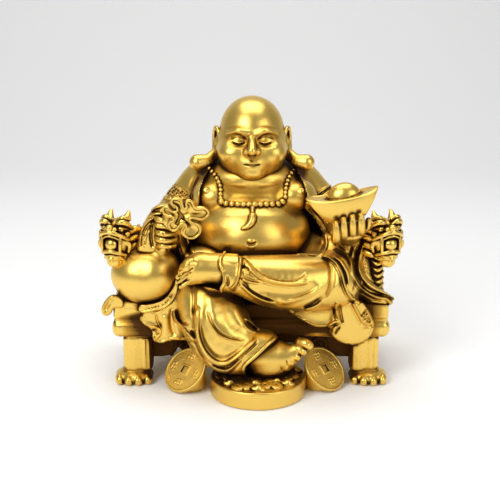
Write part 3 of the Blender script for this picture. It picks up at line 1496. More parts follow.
    def skirt_strokes(self) -> list[Stroke]:
        """Returns the hems and folds of the cloth over the seat."""
        far_side = [
            hem([
                (69, 49.8), (78, 47.2), (84.6, 42), (89, 34.5), (91.4, 26), (94, 17.5), (97.4, 10.3), (101.6, 5.6),
                (108, 3.6),
            ], 7, 3, 5, 1.5),
            groove([(79, 48.8), (87, 43.2), (91.8, 36), (94.6, 28), (96.2, 20)], 1.4, 2.4, 4),
            ridge([(82, 50), (89, 45.4), (94.2, 38), (97.2, 30), (98, 22), (97.6, 15)], 2.8, 2.4, 5),
            hem([(101, 13), (102, 22), (101.2, 30), (98.8, 38), (94.8, 45.4), (87, 51.4)], 5, 1.8, 4, 1.2),
            hem([
                (83, 59), (90, 54.6), (96, 50), (99.2, 44), (100.8, 37), (102.4, 30), (105.4, 23), (110.4, 16.8),
                (116.4, 12), (122.4, 9), (130, 7), (135.4, 5.8), (138, 3), (140, -1.5),
            ], 4, 2.4, 3, 1.4),
            groove([
                (106, 58), (104.6, 48), (104.2, 38), (106, 30), (110, 22.4), (116.6, 16), (125.4, 11.8), (134, 9.4),
            ], 3.4, 3.4, 6),
            hem([
                (113, 78), (113, 66), (109.8, 54), (107.4, 43), (108.4, 34), (111.4, 27.2), (116.5, 20.7),
                (123, 16.4), (131, 12.6), (138, 10), (143, 6.6), (144.6, 2), (143, -3),
            ], 8, 3.4, 3, 2),
            groove([
                (115.6, 70), (114.4, 58), (112, 46), (112.4, 36), (116, 28.5), (122.6, 22.6), (131, 17.6),
            ], 1.2, 1.4, 3),
            ridge([(112, 2.6), (122, 3.2), (133, 3.4)], 2.6, 1.6, 3),
            hem([
                (40, -9.4), (50, -14.8), (58, -18.9), (66, -21.3), (74, -21.6), (80, -19.8), (85, -17.3), (89, -17.8),
            ], 9, 3.2, 3, 1.5),
            ridge([(84.8, 3), (85.8, -7), (88.2, -14), (90.2, -19.5)], 1.8, 2.4, 2),
            groove([(82.6, 0), (83.2, -8), (84.4, -14.8)], 1.5, 1.8, 3),
            groove([(88.4, 2), (89.8, -8), (92.2, -19)], 1.8, 2, 3),
            ridge([(87, -20.4), (83.5, -23), (82, -27.6)], 2.5, 2.6, 2),
            groove([(90, -20.4), (86.2, -25), (83.8, -29.6)], 1.4, 2, 2),
            hem([
                (80, -26), (84, -32.9), (91, -37.5), (100, -39.3), (109, -37.9), (116.2, -33.7), (121.4, -26.8),
                (123.4, -20.5),
            ], 5, 1.8, 3, 1.5),
            hem([(100.6, 3.4), (103.3, -2), (106.8, -8.7), (109.8, -14.2), (111.4, -18)], 6, 2.8, 2, 1.4),
            hem([(111.4, -18.4), (116, -19.2), (122, -18.8)], 4, 2.6, 1.5, 1.2),
            hem([(122.8, -18.8), (120.2, -12), (116.8, -5), (113.2, 0.5), (110, 4.4)], 6, 2.4, 2, 1.2),
            groove([(116.4, -2), (112.7, -7.5), (110, -11.4)], 1.3, 1.8, 1.5),
        ]
        near_side = [
            ridge([
                (-110, -6.8), (-105, -6), (-96, -4.6), (-86, -1.2), (-78.8, 5), (-74.8, 13), (-73.6, 21),
            ], 1.1, 1.1, 3),
            ridge([(-109, -0.6), (-102, 0.2), (-90, 3.8), (-83, 9.6), (-78.6, 18)], 1, 0.9, 3),
            hem([(-144.6, -8.4), (-147.6, -6), (-147.4, -2), (-144.6, 3), (-140.4, 7.4), (-136.4, 8)], 4, 1.6, 2, 1.1),
            groove([(-144.6, -6), (-143.6, -1), (-140, 3.4)], 2, 1.4, 3),
            hem([
                (-109.6, -9.5), (-110.6, -14), (-107.3, -18.9), (-102.5, -21.5), (-97, -22.4), (-93.6, -22.8),
            ], 7, 2.2, 1.5, 1.3),
            ridge([
                (-97.6, -21.6), (-93, -22.4), (-90.4, -25.5), (-91.2, -29.2), (-95, -32.4), (-98, -34.2),
            ], 2.2, 2.2, 2),
            groove([(-99, -24), (-95.4, -25.2), (-94, -27), (-95, -29.4)], 1.6, 1.5, 1.5),
            hem([
                (-98, -35), (-94, -37), (-90, -37.9), (-86, -37), (-82, -35), (-77, -34.4), (-69, -34.4),
                (-60, -34.2), (-54, -35.4),
            ], 7, 2.8, 2, 1.5),
            groove([(-94.4, -8.6), (-94, -14), (-92, -19), (-90.4, -23)], 2.2, 1.8, 2),
            ridge([(-86, -8), (-86, -18), (-85.6, -28), (-87, -35)], 5, 1.8, 5),
            groove([(-78, -1), (-79.6, -10), (-78.6, -22), (-76, -31.5)], 3.8, 2, 5),
        ]
        return far_side + near_side

    def relief(self) -> Relief:
        """Returns the carving of the whole robe."""
        relief = Relief().draw([*self.upper_strokes(), *self.leg_strokes(), *self.skirt_strokes()])
        borders = (
            ([
                (-90, 110), (-87, 117), (-81, 121), (-75, 119.6), (-68, 116), (-61, 109.6), (-70, 107.6),
                (-80, 106.4),
            ], 4.2, 1),
            ([
                (-99, 85), (-104.5, 78), (-108, 68), (-109, 58), (-106.8, 58), (-106, 66), (-103.4, 74), (-98, 81.5),
            ], 3.4, 0.9),
            ([(60.5, 98), (67.4, 90.6), (75.5, 79), (80.6, 68), (84, 70), (79, 81), (71, 92), (65, 99)], 3.4, 0.8),
            ([(110.5, -11.5), (114, -5.5), (117.5, -8), (121, -17), (113, -17.4)], 3.6, 1.3),
            ([
                (-106, -1.4), (-99, -0.6), (-90, 2.2), (-84.4, 6.6), (-80.4, 13), (-76.4, 11.6), (-80.2, 5),
                (-87, -0.4), (-96, -3.4), (-106, -5),
            ], 3.6, 1.2),
            ([(97, 12.5), (99.5, 14), (104, 9), (109, 5.5), (107, 4), (101.5, 6.5)], 2.8, 0.9),
            ([
                (116.4, 68), (115, 57), (112.8, 46), (113.4, 37), (117, 29.6), (123.4, 23.4), (131, 18.6), (133, 21),
                (125, 26), (119, 31), (116, 38), (116, 46), (118.6, 58),
            ], 3.2, 0.8),
        )
        for outline, pitch, height in borders:
            relief.pattern(outline, pitch, height)
        return relief

    def lower(self, relief: Relief) -> Clay:
        """Returns the clay of the legs and skirts, with both trouser cuffs open."""
        clay = shaped(*self.lower_block, self.lower_cell, [*self.legs(), *self.skirts()])
        high_cuff = [
            (-24, 53), (-29.5, 50), (-32, 45.4), (-31.4, 39.6), (-29, 33.6), (-27.6, 27), (-28, 22), (-30.6, 17.6),
            (-31, 14.6),
        ]
        low_cuff = [
            (29, -30.4), (24, -34.6), (17.5, -40), (11, -46.5), (4, -53), (-2, -58), (-5.6, -61.4), (-6.6, -65.4),
            (-4.6, -70.6), (-1.6, -74),
        ]
        clay.cut(Veil([*high_cuff, (-34, 16), (-56, 21), (-56, 57), (-30, 57)], -72, -16, 0.6, False), 0.3)
        clay.cut(Veil([*low_cuff, (10, -86), (70, -86), (70, -29)], -80, 6, 0.6, False), 0.3)
        clay.level(1, BACK_LIMIT, True, 8).raise_relief(relief, 9)
        for edge, inward in ((high_cuff, (1.2, 0.2)), (low_cuff[1:-2], (-1, 1.3))):
            spots = [drop_on([clay], (u + inward[0], v + inward[1])) - SIGHT.inward for u, v in smooth_line(edge, 3)]
            clay.add(Limb([tuple(spot) for spot in spots], (1.7,), 3), 0.5)
        return clay

    def pieces(self) -> list[Casting]:
        """Returns the robe's castings."""
        relief = self.relief()
        return [
            figure_part("robe_upper", self.upper_budget, self.upper(relief)),
            figure_part("robe_lower", self.lower_budget, self.lower(relief)),
        ]


@dataclass
class Hands:
    """The near hand round the sack's neck and the far hand under the ingot."""

    near_block: Box = ((-112, -28, 54), (-62, 22, 104))
    far_block: Box = ((70, -36, 52), (126, 26, 108))
    cell: float = 0.5
    budget: int = 26_000

    def near(self) -> Clay:
        """Returns the fist that closes on the sack's neck."""
        forms: Forms = [
            (Egg((-83, 1, 76), (10, 11, 14)), 0),
            (Limb([(-86, 14, 74), (-85, 6, 76)], (12, 10)), 4),
        ]
        fingers = ((92, 2.8, 0), (86.6, 2.7, -0.6), (79.4, 3.5, 1), (72.6, 3.3, 0.2), (66.6, 2.6, 1.6))
        for z, thick, out in fingers:
            line = [
                (-91 + out, -3, z + 0.4), (-90.6 + out, -10, z), (-86, -14, z), (-80, -13.6, z - 0.8),
                (-75, -9, z - 1.6),
            ]
            forms.append((Limb(line, (thick, thick * 1.08, thick, thick * 0.92, thick * 0.85)), 0.7))
        clay = shaped(*self.near_block, self.cell, forms)
        for z, thick, out in fingers:
            clay.add(Egg((-89.4 + out, -12.6, z + 0.2), (2.3, 2, thick * 0.86)), 0.9)
            clay.cut(Limb([(-85, -17.4, z + 2), (-84.4, -17.2, z - 2)], (0.45, 0.45)), 0.8)
        return clay

    def far(self) -> Clay:
        """Returns the open hand that holds the ingot up."""
        forms: Forms = [
            (Egg((94, -4, 77), (17, 13, 8)), 0),
            (Limb([(97, 14, 70), (96, 2, 74)], (13, 11)), 5),
        ]
        tips = ((81.6, 92), (88.8, 96), (97.2, 98.6), (105.2, 100))
        for x, top in tips:
            line = [(x + 1, -12, top - 19), (x + 0.6, -20.5, top - 16), (x + 0.2, -25.6, top - 8), (x, -25.4, top)]
            forms.append((Limb(line, (4.6, 4.4, 4, 3.2)), 1))
        forms.append((Limb([(108, -4, 80), (113, -10, 86), (113.6, -14, 92)], (5, 4.2, 3.2)), 2))
        clay = shaped(*self.far_block, self.cell, forms)
        for x, top in tips:
            clay.cut(Limb([(x - 2.4, -30.4, top - 6.4), (x + 2.4, -30.4, top - 6)], (0.55, 0.55)), 0.9)
            clay.add(Egg((x, -28.2, top + 0.2), (2, 1.2, 2.2)), 0.3)
        return clay

    def pieces(self) -> list[Casting]:
        """Returns the hands' castings."""
        return [
            figure_part("hand_near", self.budget, self.near()),
            figure_part("hand_far", self.budget, self.far()),
        ]


@dataclass
class Feet:
    """The crossed foot, whose toes hang at the sack's side, and the foot on the stand."""

    crossed_block: Box = ((-86, -48, 14), (-12, 2, 66))
    standing_block: Box = ((-30, -64, -70), (66, 6, -16))
    cell: float = 0.5
    budget: int = 28_000

    def crossed(self) -> Clay:
        """Returns the ankle and foot that rest on the near knee."""
        forms: Forms = [
            (Limb([(-16, -21, 45), (-34, -22, 46), (-50, -22, 46)], (15, 15, 14.4)), 0),
            (Limb([(-50, -21, 47), (-57, -23, 45), (-61, -25, 41)], (13.6, 12.6, 10.4)), 6),
            (Limb([(-54, -28, 53), (-60, -33, 53.5), (-62.4, -36, 51)], (6, 6, 4.6)), 2.5),
        ]
        tips = ((-66.4, 46.4, 2.7), (-69.8, 42, 2.8), (-70.4, 37.2, 2.5), (-67, 32.6, 2.2))
        for x, z, thick in tips:
            line = [(x + 13, -31, z + 7.5), (x + 6.5, -35.4, z + 4.2), (x, -37, z)]
            forms.append((Limb(line, (thick * 0.85, thick * 0.9, thick)), 0.3))
        clay = shaped(*self.crossed_block, self.cell, forms)
        for (x, z, _), (x_next, z_next, _) in zip(tips, tips[1:]):
            middle, rise = (x + x_next) / 2, (z + z_next) / 2
            gap = [(middle + 12, -36.5, rise + 7), (middle + 6, -38.6, rise + 3.8), (middle - 2, -39, rise - 1)]
            clay.cut(Limb(gap, (0.5, 0.8, 0.9)), 0.7)
        for x, z, _ in tips:
            clay.add(Egg((x - 0.8, -39.2, z), (1.6, 1, 1.7)), 0.3)
        clay.add(Egg((-61.6, -39.6, 53), (2.4, 1.3, 3), (0, 35, 0)), 0.5)
        return clay

    def standing_foot(self) -> Clay:
        """Returns the foot on the treasure stand."""
        forms: Forms = [
            (Egg((8, -18, -46), (22, 16, 17), (0, 30, 0)), 0),
            (Egg((24, -19, -48), (19, 13.5, 18), (0, 38, 0)), 8),
            (Egg((39, -21, -45.5), (9.5, 9.5, 19), (0, 45, 0)), 7),
            (Egg((16, -20, -60), (16, 13, 9)), 7),
        ]
        toes = ((56.4, -31.4, 4.7), (50.6, -37.6, 4.4), (44.6, -43.6, 4.3), (38.6, -49.2, 4.2), (32.8, -55, 4))
        for x, z, thick in toes:
            line = [(x - 8, -22, z + 1), (x - 1.5, -26.5, z + 0.6), (x + 1, -27.4, z - 0.8)]
            forms.append((Limb(line, (thick, thick, thick * 0.94)), 0.5))
        clay = shaped(*self.standing_block, self.cell, forms)
        clay.level(2, STAND_TOP + 0.2, False, 0)
        for x, z, thick in toes:
            clay.add(Egg((x + 1.6, -27 - thick * 0.78, z + 0.4), (2.3, 1.3, 2.1)), 0.3)
            clay.cut(Limb([(x - 3.6, -31.4, z + 2.6), (x - 2.6, -31.4, z - 2.6)], (0.4, 0.4)), 0.8)
        return clay

    def pieces(self) -> list[Casting]:
        """Returns the feet's castings."""
        return [
            figure_part("foot_crossed", self.budget, self.crossed()),
            figure_part("foot_standing", self.budget, self.standing_foot()),
        ]


@dataclass
class Sack:
    """The full sack, gathered into the fist, with its ruffled mouth above the hand."""

    block: Box = ((-145, -24, -4), (-62, 50, 104))
    ruffle_block: Box = ((-98, -46, 58), (-34, 12, 130))
    cell: float = 0.7
    ruffle_cell: float = 0.5
    budget: int = 46_000
    ruffle_budget: int = 45_000
    middle: Flat = (-68.5, 91.5)
    rim: Sequence[Flat] = (
        (-88, 97.5), (-87.6, 93.5), (-83, 90), (-78, 88.5), (-77, 85.5), (-82, 82.5), (-81.4, 77.5), (-76, 75),
        (-73, 78.5), (-69, 82), (-65.6, 81.5), (-65, 77.5), (-67.5, 73.5), (-65, 69), (-60, 67.3), (-54, 69.5),
        (-50.8, 74.5), (-52, 79.5), (-56, 82), (-60.4, 83.6), (-61.6, 86.6), (-58, 87.8), (-51, 86.5), (-45, 88.5),
        (-42.5, 91.5), (-44, 95.5), (-48, 97), (-52, 96), (-56.6, 98), (-58.6, 102.5), (-62, 105), (-65, 102),
        (-64, 97.6), (-67, 96.4), (-68.6, 100.5), (-70, 104.5), (-75, 106.6), (-79.4, 105.3), (-79, 101.4),
        (-74.6, 98.8), (-73.4, 95.6), (-76.4, 93.4), (-81, 96), (-84.4, 99),
    )

    def body(self) -> Clay:
        """Returns the sack and its neck."""
        forms: Forms = [
            (Egg((-106, 13, 29.5), (34.5, 32, 30)), 0),
            (Egg((-94, 9, 34), (23.5, 26, 23)), 9),
            (Limb([(-90, 4, 54), (-86, -2, 64), (-84, -4, 78)], (9, 7.5, 8)), 5),
            (Limb([(-84, -4, 80), (-78, -10, 92)], (8, 9)), 4),
        ]
        clay = shaped(*self.block, self.cell, forms)
        strokes = [
            groove([(-84.5, 60), (-83.5, 56.5), (-84.5, 53)], 1.4, 1.6, 3),
            groove([(-89, 60.5), (-91.5, 57), (-95, 54.6)], 1.5, 1.4, 3),
            groove([(-79.5, 60), (-77, 55), (-74.6, 49)], 1.4, 1.4, 3),
            ridge([(-92, 61), (-95, 58.4), (-99, 57)], 1.4, 1.2, 2),
            groove([(-107, 50), (-107.6, 36), (-106.4, 20)], 9, 0.7, 16),
        ]
        return clay.raise_relief(Relief().draw(strokes))

    def ruffle(self) -> Clay:
        """Returns the ruffled mouth: filled lobes with a thin bright rim, gathered in the middle."""
        ring = smooth_line(self.rim, 1.4, closed=True)
        middle = np.array(self.middle)
        core = Egg(self.place(*self.middle, 15), (9, 7, 10))
        clay = shaped(*self.ruffle_block, self.ruffle_cell, [(core, 0)])
        for share in (0.95, 0.86, 0.77, 0.68, 0.59, 0.5, 0.4, 0.3, 0.2):
            flat = middle + (ring - middle) * share
            away, thick = 3.6 + 8 * (1 - share), 2.1 + 2.2 * (1 - share)
            clay.add(Limb([self.place(u, v, away) for u, v in flat[::2]], (thick,), 2.2, True), 2.6)
        for crease in ([(-74, 96, 2), (-70, 90, 4), (-66, 84, 4), (-62, 79, 2)], [(-71, 89, 4), (-74, 82, 2)]):
            clay.cut(Limb([self.place(*spot) for spot in crease], (1.5,)), 1)
        clay.add(Limb([self.place(u, v, 0) for u, v in ring[::2]], (1.15,), 1.5, True), 0.3)
        return clay

    @staticmethod
    def place(u: float, v: float, away: float) -> Vec:
        """Returns the place seen at u, v that lies away behind the ruffle's front plane."""
        ray = SIGHT.rays(np.array([u]), np.array([v]))[0]
        front = -34 + 0.16 * (u + 66) ** 2 / 20
        depth = (front - SIGHT.eye[1]) / ray[1] + away
        return tuple(SIGHT.eye + ray * depth)

    def pieces(self) -> list[Casting]:
        """Returns the sack's castings."""
        return [
            figure_part("sack", self.budget, self.body()),
            figure_part("sack_ruffle", self.ruffle_budget, self.ruffle()),
        ]


@dataclass
class Ingot:
    """The boat-shaped ingot with its dome."""

    centre: Vec = (89.6, -10, 106.6)
    tilt: float = -10.0
    half_length: float = 35.0
    half_width: float = 16.5
    block: Box = ((-42, -22, -22), (42, 22, 30))
    shade_block: Box = ((50, -32, 78), (132, 12, 130))
    cell: float = 0.5
    shade_cell: float = 1.2
    budget: int = 14_000

    def sheer(self, along: float) -> float:
        """Returns the rim's height at a share of the half length."""
        return 8.5 + 3.8 * abs(along) ** 2.4

    def clay(self) -> Clay:
        """Returns the ingot's clay in its own frame."""
        clay = Clay(*self.block, self.cell)
        top = [(t * self.half_length, self.sheer(t)) for t in np.linspace(-1, 1, 21)]
        hull = [*top, (29.5, 3), (24, -5), (19.5, -12), (13, -17), (-13, -17), (-19.5, -12), (-24, -5), (-29.5, 3)]
        clay.add(Slab(hull, -self.half_width - 4, 2 * self.half_width + 8, 0.6))
        clay.keep(Egg((0, 0, 9), (37, self.half_width + 0.4, 27)), 1)
        clay.cut(Egg((0, 0, 21), (33, 13.6, 15)), 0.8)
        clay.add(Egg((1.5, 0.5, 7.5), (16.5, 12.2, 14.5)), 1)
        rim = []
        for turn in np.linspace(0, 2 * math.pi, 40, endpoint=False):
            x = 0.985 * self.half_length * math.cos(turn)
            y = 0.93 * self.half_width * math.sin(turn) * (1 - 0.12 * abs(math.cos(turn)) ** 3)
            rim.append((x, y, self.sheer(x / self.half_length) - 0.2))
        clay.add(Limb(rim, (1,), 1.6, True), 0.8)
        return clay

    def pieces(self) -> list[Casting]:
        """Returns the ingot's casting."""
        place = Matrix.Translation(self.centre) @ Matrix.Rotation(math.radians(self.tilt), 4, "Y")
        shade = Egg(self.centre, (35, 15, 14), (0, self.tilt, 0))
        shaped(*self.shade_block, self.shade_cell, [(shade, 0)])
        return [figure_part("ingot", self.budget, self.clay(), place)]


@dataclass
class Beads:
    """The string of beads on the chest, with its hooked pendant."""

    line: Sequence[Flat] = (
        (-41.5, 137), (-34.5, 128), (-30.5, 118), (-30.5, 108), (-29, 102.6), (-22, 101.6), (-10, 101.2), (2, 101),
        (16, 101.3), (29, 102.2), (33.5, 106), (34.5, 115), (37, 126), (43, 137),
    )
    radius: float = 3.3
    block: Box = ((-52, -12, 60), (54, 60, 145))
    cell: float = 0.55
    budget: int = 24_000

    def clay(self, skin: Sequence[Clay]) -> Clay:
        """Returns the beads' clay, laid on the skin that the eye sees."""
        clay = Clay(*self.block, self.cell)
        line = smooth_line(self.line, 0.25)
        lengths = np.concatenate([[0], np.cumsum(np.linalg.norm(np.diff(line, axis=0), axis=1))])
        at = 0
        while at < lengths[-1]:
            u, v = line[min(int(np.searchsorted(lengths, at)), len(line) - 1)]
            small = 0.72 if v > 104 else 1
            spot = drop_on(skin, (float(u), float(v)))
            radius = self.radius * small
            clay.add(Egg(tuple(spot - SIGHT.inward * radius * 0.45), (radius, radius, radius)), 0.25)
            at += 1.72 * radius
        pendant = [(1.5, 97.5), (1.4, 93), (1.6, 89.5), (0.6, 84), (-3, 79.5), (-8.5, 77)]
        spots = [tuple(drop_on(skin, spot) - SIGHT.inward * 1.6) for spot in pendant]
        clay.add(Limb(spots, (2.2, 1.8, 3.3, 3.4, 2.6, 1.2)), 0.8)
        clay.add(Egg(spots[2], (3.6, 3, 3.2)), 0.8)
        YARD.clays.append(clay)
        return clay

    def pieces(self, skin: Sequence[Clay]) -> list[Casting]:
        """Returns the beads' casting."""
        return [figure_part("beads", self.budget, self.clay(skin))]


# Chair


@dataclass
class Chair:
    """The low carved chair under the figure."""

    width: float = 276.0
    depth: float = 122.0
    slab: float = 14.5
    waist: float = 2.0
    rail: float = 18.5
    leg_width: float = 28.0
    leg_depth: float = 24.0
    inset: float = 9.0
    apron_setback: float = 17.0
    apron_depth: float = 7.0
    apron_drop: float = 27.0
    arm_spread: float = 126.0
    arm_height: float = 62.0
    block: Box = ((-158, -14, -86), (158, 126, 92))
    dragon_block: Box = ((-26, -30, -30), (26, 26, 34))
    cell: float = 0.85
    dragon_cell: float = 0.42
    budget: int = 88_000
    dragon_budget: int = 46_000

    @property
    def under(self) -> float:
        """The height of the rail's underside."""
        return -self.slab - self.waist - self.rail

    @property
    def leg_middle(self) -> float:
        """How far out the legs stand."""
        return self.width / 2 - self.inset - self.leg_width / 2

    @property
    def apron_half(self) -> float:
        """Half the width of the aprons between the legs."""
        return self.width / 2 - self.inset - self.leg_width + 3

    def seat(self) -> Forms:
        """Returns the slab, the waist and the bulging rail."""
        middle = self.depth / 2
        low = -self.slab - self.waist
        return [
            (Brick((0, middle, 0.5 - self.slab / 2), (self.width, self.depth, self.slab + 1), 2.4), 0),
            (Brick((-124.5, 24, 0.6), (27, 50, 8.6), 2.4), 1),
            (Brick((0, middle, low + 1), (self.width - 3, self.depth - 3, self.waist + 6), 1), 1.5),
            (Brick((0, middle, low - self.rail / 2), (self.width + 4, self.depth + 4, self.rail), 7.6), 0.8),
        ]

    def front_leg(self, side: int) -> Forms:
        """Returns a front leg of fused columns on a broad clawed paw."""
        x, y, top = side * self.leg_middle, self.leg_depth / 2 + 2, self.under + 3
        forms: Forms = [
            (Brick((x, y, (top - 74) / 2), (30, 24, 74 + top), 7), 0),
            (Brick((x - 5.5, y - 1, (top - 74) / 2), (16, 24, 74 + top), 6), 0.8),
            (Egg((x + side * 4.5, y - 2, -78.5), (19.5, 17, 8)), 3),
        ]
        for across, reach in ((-14, 11), (-4.8, 14), (4.8, 14), (14.2, 11)):
            centre = x + side * 4.5 + across
            forms.append((Egg((centre, y - reach + 2, -80.2), (5.3, 10, 6.4)), 0.5))
        return forms

    def outline(self) -> list[Flat]:
        """Returns the front apron's lower edge and its sides."""
        side = [
            (1, -0.1), (1, 1), (0.86, 1), (0.80, 0.93), (0.775, 0.78), (0.75, 0.66), (0.70, 0.62), (0.65, 0.62),
            (0.6, 0.60), (0.56, 0.54), (0.5, 0.47), (0.42, 0.45),
        ]
        right = [(x * self.apron_half, self.under - z * self.apron_drop) for x, z in side]
        return [*right, *((-x, z) for x, z in reversed(right))]

    def apron(self) -> Forms:
        """Returns the front apron with its scrolls, and the plainer side and rear aprons."""
        top, front = self.under, self.apron_setback
        edge = self.outline()
        forms: Forms = [
            (Slab(edge, y, self.apron_depth, 1.6), 0.8) for y in (front, self.depth - front - self.inset - 7)
        ]
        for side in (-1, 1):
            x = side * self.apron_half * 0.7
            spots = [
                (9, 1, 25), (4.5, 0, 17), (3.5, 0, 9), (-2.5, 0, 5.5), (-8, 0, 9), (-8.2, 0, 15), (-3.5, 0, 17.5),
                (-0.8, 0, 14), (-3.2, 0, 11.6),
            ]
            curl = [(x + side * out, front + back, top - down) for out, back, down in spots]
            forms.append((Limb(curl, (1.7, 1.9, 1.9, 2, 2.2, 2.4, 2.6, 2.4, 2), 2), 0.8))
            x = side * (self.width / 2 - self.inset - 5.5)
            forms.append((Brick((x, (self.depth - self.inset + 2) / 2, top - 8), (7, self.depth - 52, 18), 1.5), 1))
            rear = self.depth - self.inset - self.leg_depth / 2
            forms.append((Brick((side * self.leg_middle, rear, top / 2 - 42), (24, 20, 85 + top + 3), 3), 1))
        return forms

    def arms(self) -> Forms:
        """Returns the back and the arms behind the dragons' heads."""
        half, rear = self.arm_spread, self.depth - 6
        outline = [(-half, -2), (half, -2), (half, 32), (half - 20, 36), (half - 28, 56), (half - 40, 64)]
        outline += [(40 - half, 64), (28 - half, 56), (20 - half, 36), (-half, 32)]
        forms: Forms = [(Slab(outline, self.depth - 11, 10.6, 3), 1)]
        for side in (-1, 1):
            x = side * half
            neck = [(x, 18, 4), (x - side, 20, 31), (x, 24, 54), (x + side * 6, 14, 62)]
            forms.append((Limb(neck, (8, 8.5, 9, 12.5), 4), 2))
            for ring in range(7):
                z = 10 + ring * 6.4
                scale = [(x - 7, 14.5, z + 2), (x, 9.4, z - 1.4), (x + 7, 14.5, z + 2)]
                forms.append((Limb(scale, (1.2, 2.2, 1.2)), 1))
            rail = [(x, 18, 58), (x, 61, 41), (x, rear, 32)]
            forms.append((Limb(rail, (10, 8, 7.6), 5), 3))
            forms.append((Brick((x, rear, 15), (13, 11, 34), 2), 1))
            forms.append((Brick((x, 18, 4), (19, 21, 9), 2), 1))
            for ring in range(6):
                y = 34 + ring * 13
                z = 58 - (y - 18) * 0.27 + 6
                forms.append((Limb([(x - 6, y, z), (x, y - 3, z + 3.4), (x + 6, y, z)], (1.8, 2.4, 1.8)), 1.5))
        return forms

    def clay(self) -> Clay:
        """Returns the chair's clay."""
        legs = [form for side in (-1, 1) for form in self.front_leg(side)]
        forms = [*self.seat(), *legs, *self.apron(), *self.arms()]
        clay = shaped(*self.block, self.cell, forms)
        for side in (-1, 1):
            for across, front in ((3.2, 1.2), (-8.6, -0.2), (9.4, 1.6)):
                x = side * self.leg_middle + across
                clay.cut(Limb([(x, front, -38), (x, front, -70)], (1.3, 1.3)), 1.2)
        return clay.level(2, GROUND, False)

    def dragon(self) -> Clay:
        """Returns a dragon's head with a pearl in its mouth, in its own frame, facing -Y."""
        clay = Clay(*self.dragon_block, self.dragon_cell)
        add = clay.add
        add(Egg((0, 9, 2), (14.5, 16.5, 19)), 0)
        add(Egg((0, 3, 15), (13.5, 11.5, 8.5)), 4)
        add(Egg((0, -4, 2), (14, 10, 14)), 3)
        add(Egg((0, -3, -12), (10.5, 11, 8)), 4)
        clay.cut(Egg((0, -15, 4.4), (8.8, 10, 10)), 0.8)
        add(Egg((0, -11, 1.4), (6.8, 6.4, 6.8)), 0.3)
        upper = [
            (-15.8, -5, 5.5), (-11, -11.6, 10.2), (-4.6, -15.8, 14), (0, -16.6, 14.9), (4.6, -15.8, 14),
            (11, -11.6, 10.2), (15.8, -5, 5.5),
        ]
        add(Limb(upper, (1.3, 1.9, 2.1, 2.3, 2.1, 1.9, 1.3)), 0.8)
        add(Limb([(x * 0.78, y - 0.2, z - 3.6) for x, y, z in upper[1:-1]], (0.9, 1.1, 1.2, 1.1, 0.9)), 0.4)
        lower = [(-12.5, -6.5, -9.8), (-7.5, -13.2, -6.6), (0, -15.8, -4.6), (7.5, -13.2, -6.6), (12.5, -6.5, -9.8)]
        add(Limb(lower, (1.4, 1.9, 2.2, 1.9, 1.4)), 0.6)
        add(Egg((0, -9.5, -10.4), (9.2, 6.2, 4)), 0.6)
        add(Limb([(-9.8, -6.5, -14.6), (0, -15, -12.4), (9.8, -6.5, -14.6)], (1.2, 1.7, 1.2)), 0.6)
        add(Egg((0, -7, -18), (7.4, 6, 5.6)), 1.5)
        add(Egg((0, -15.5, 19), (3.5, 3.4, 3.3)), 0.8)
        for half in (-1, 1):
            add(Egg((half * 4.4, -13.6, 17.2), (2.7, 2.8, 2.3)), 0.6)
            add(Egg((half * 8.4, -7.8, 16.4), (3.3, 3.2, 3.3)), 0.5)
            clay.cut(Egg((half * 8.8, -11.2, 16.4), (0.9, 1, 0.9)), 0.5)
            brow = mirror(half, (3.2, -8.4, 20.4), (8.5, -8, 23.2), (13.4, -4, 21.4), (16.4, 1, 16.6))
            add(Limb(brow, (1.8, 2.6, 2.6, 1.6)), 0.6)
            crest = mirror(half, (4, -3.6, 24.6), (9.2, -3.4, 26.6), (14.4, 0.8, 24.6))
            add(Limb(crest, (1.7, 2.4, 1.8)), 0.8)
            add(Limb(mirror(half, (9.4, -12, 8), (9.6, -12.8, 1), (8.8, -12.6, -6)), (1.7, 1.8, 1.6)), 0.4)
            add(Limb(mirror(half, (8.4, 4, 22), (9.4, 8, 26), (9.2, 11, 29.6)), (4.4, 3.2, 1.5)), 1.5)
            add(Egg((half * 13.6, -4, 10.6), (3, 3.8, 3.2)), 0.8)
            cheek = mirror(half, (12.4, -6, 4), (15.6, -4, -1), (13.6, -3.4, -7))
            add(Limb(cheek, (2.2, 2.6, 1.7)), 0.8)
            for lock in range(4):
                z = 12 - lock * 8
                hair = mirror(half, (12.5, 3, z), (16.5, 8, z + 1), (18.6 - lock, 14, z - 0.5), (16.6, 18, z + 2))
                add(Limb(hair, (3.6, 3.8, 3, 1.6)), 0.7)
        for lock in range(4):
            x = -5.4 + lock * 3.6
            clay.cut(Limb([(x, -13.2, -15), (x * 1.05, -13.4, -22)], (0.6, 0.7)), 0.6)
        for spine in range(3):
            y = 3 + spine * 7
            add(Limb([(0, y, 21 - spine * 0.8), (0, y + 4, 24 - spine)], (2.4, 1.2)), 1)
        return clay

    def pieces(self) -> list[Casting]:
        """Returns the chair's castings."""
        castings = [Casting("chair_frame", "dragon_chair", CHAIR_BRASS, self.budget, self.clay(), None, 1.5)]
        for side, name in ((-1, "dragon_left"), (1, "dragon_right")):
            place = Matrix.Translation((side * (self.arm_spread + 7), 6, self.arm_height + 2))
            place = place @ Matrix.Rotation(math.radians(side * 18), 4, "Z")
            castings.append(Casting(name, "dragon_chair", CHAIR_BRASS, self.dragon_budget, self.dragon(), place))
        return castings


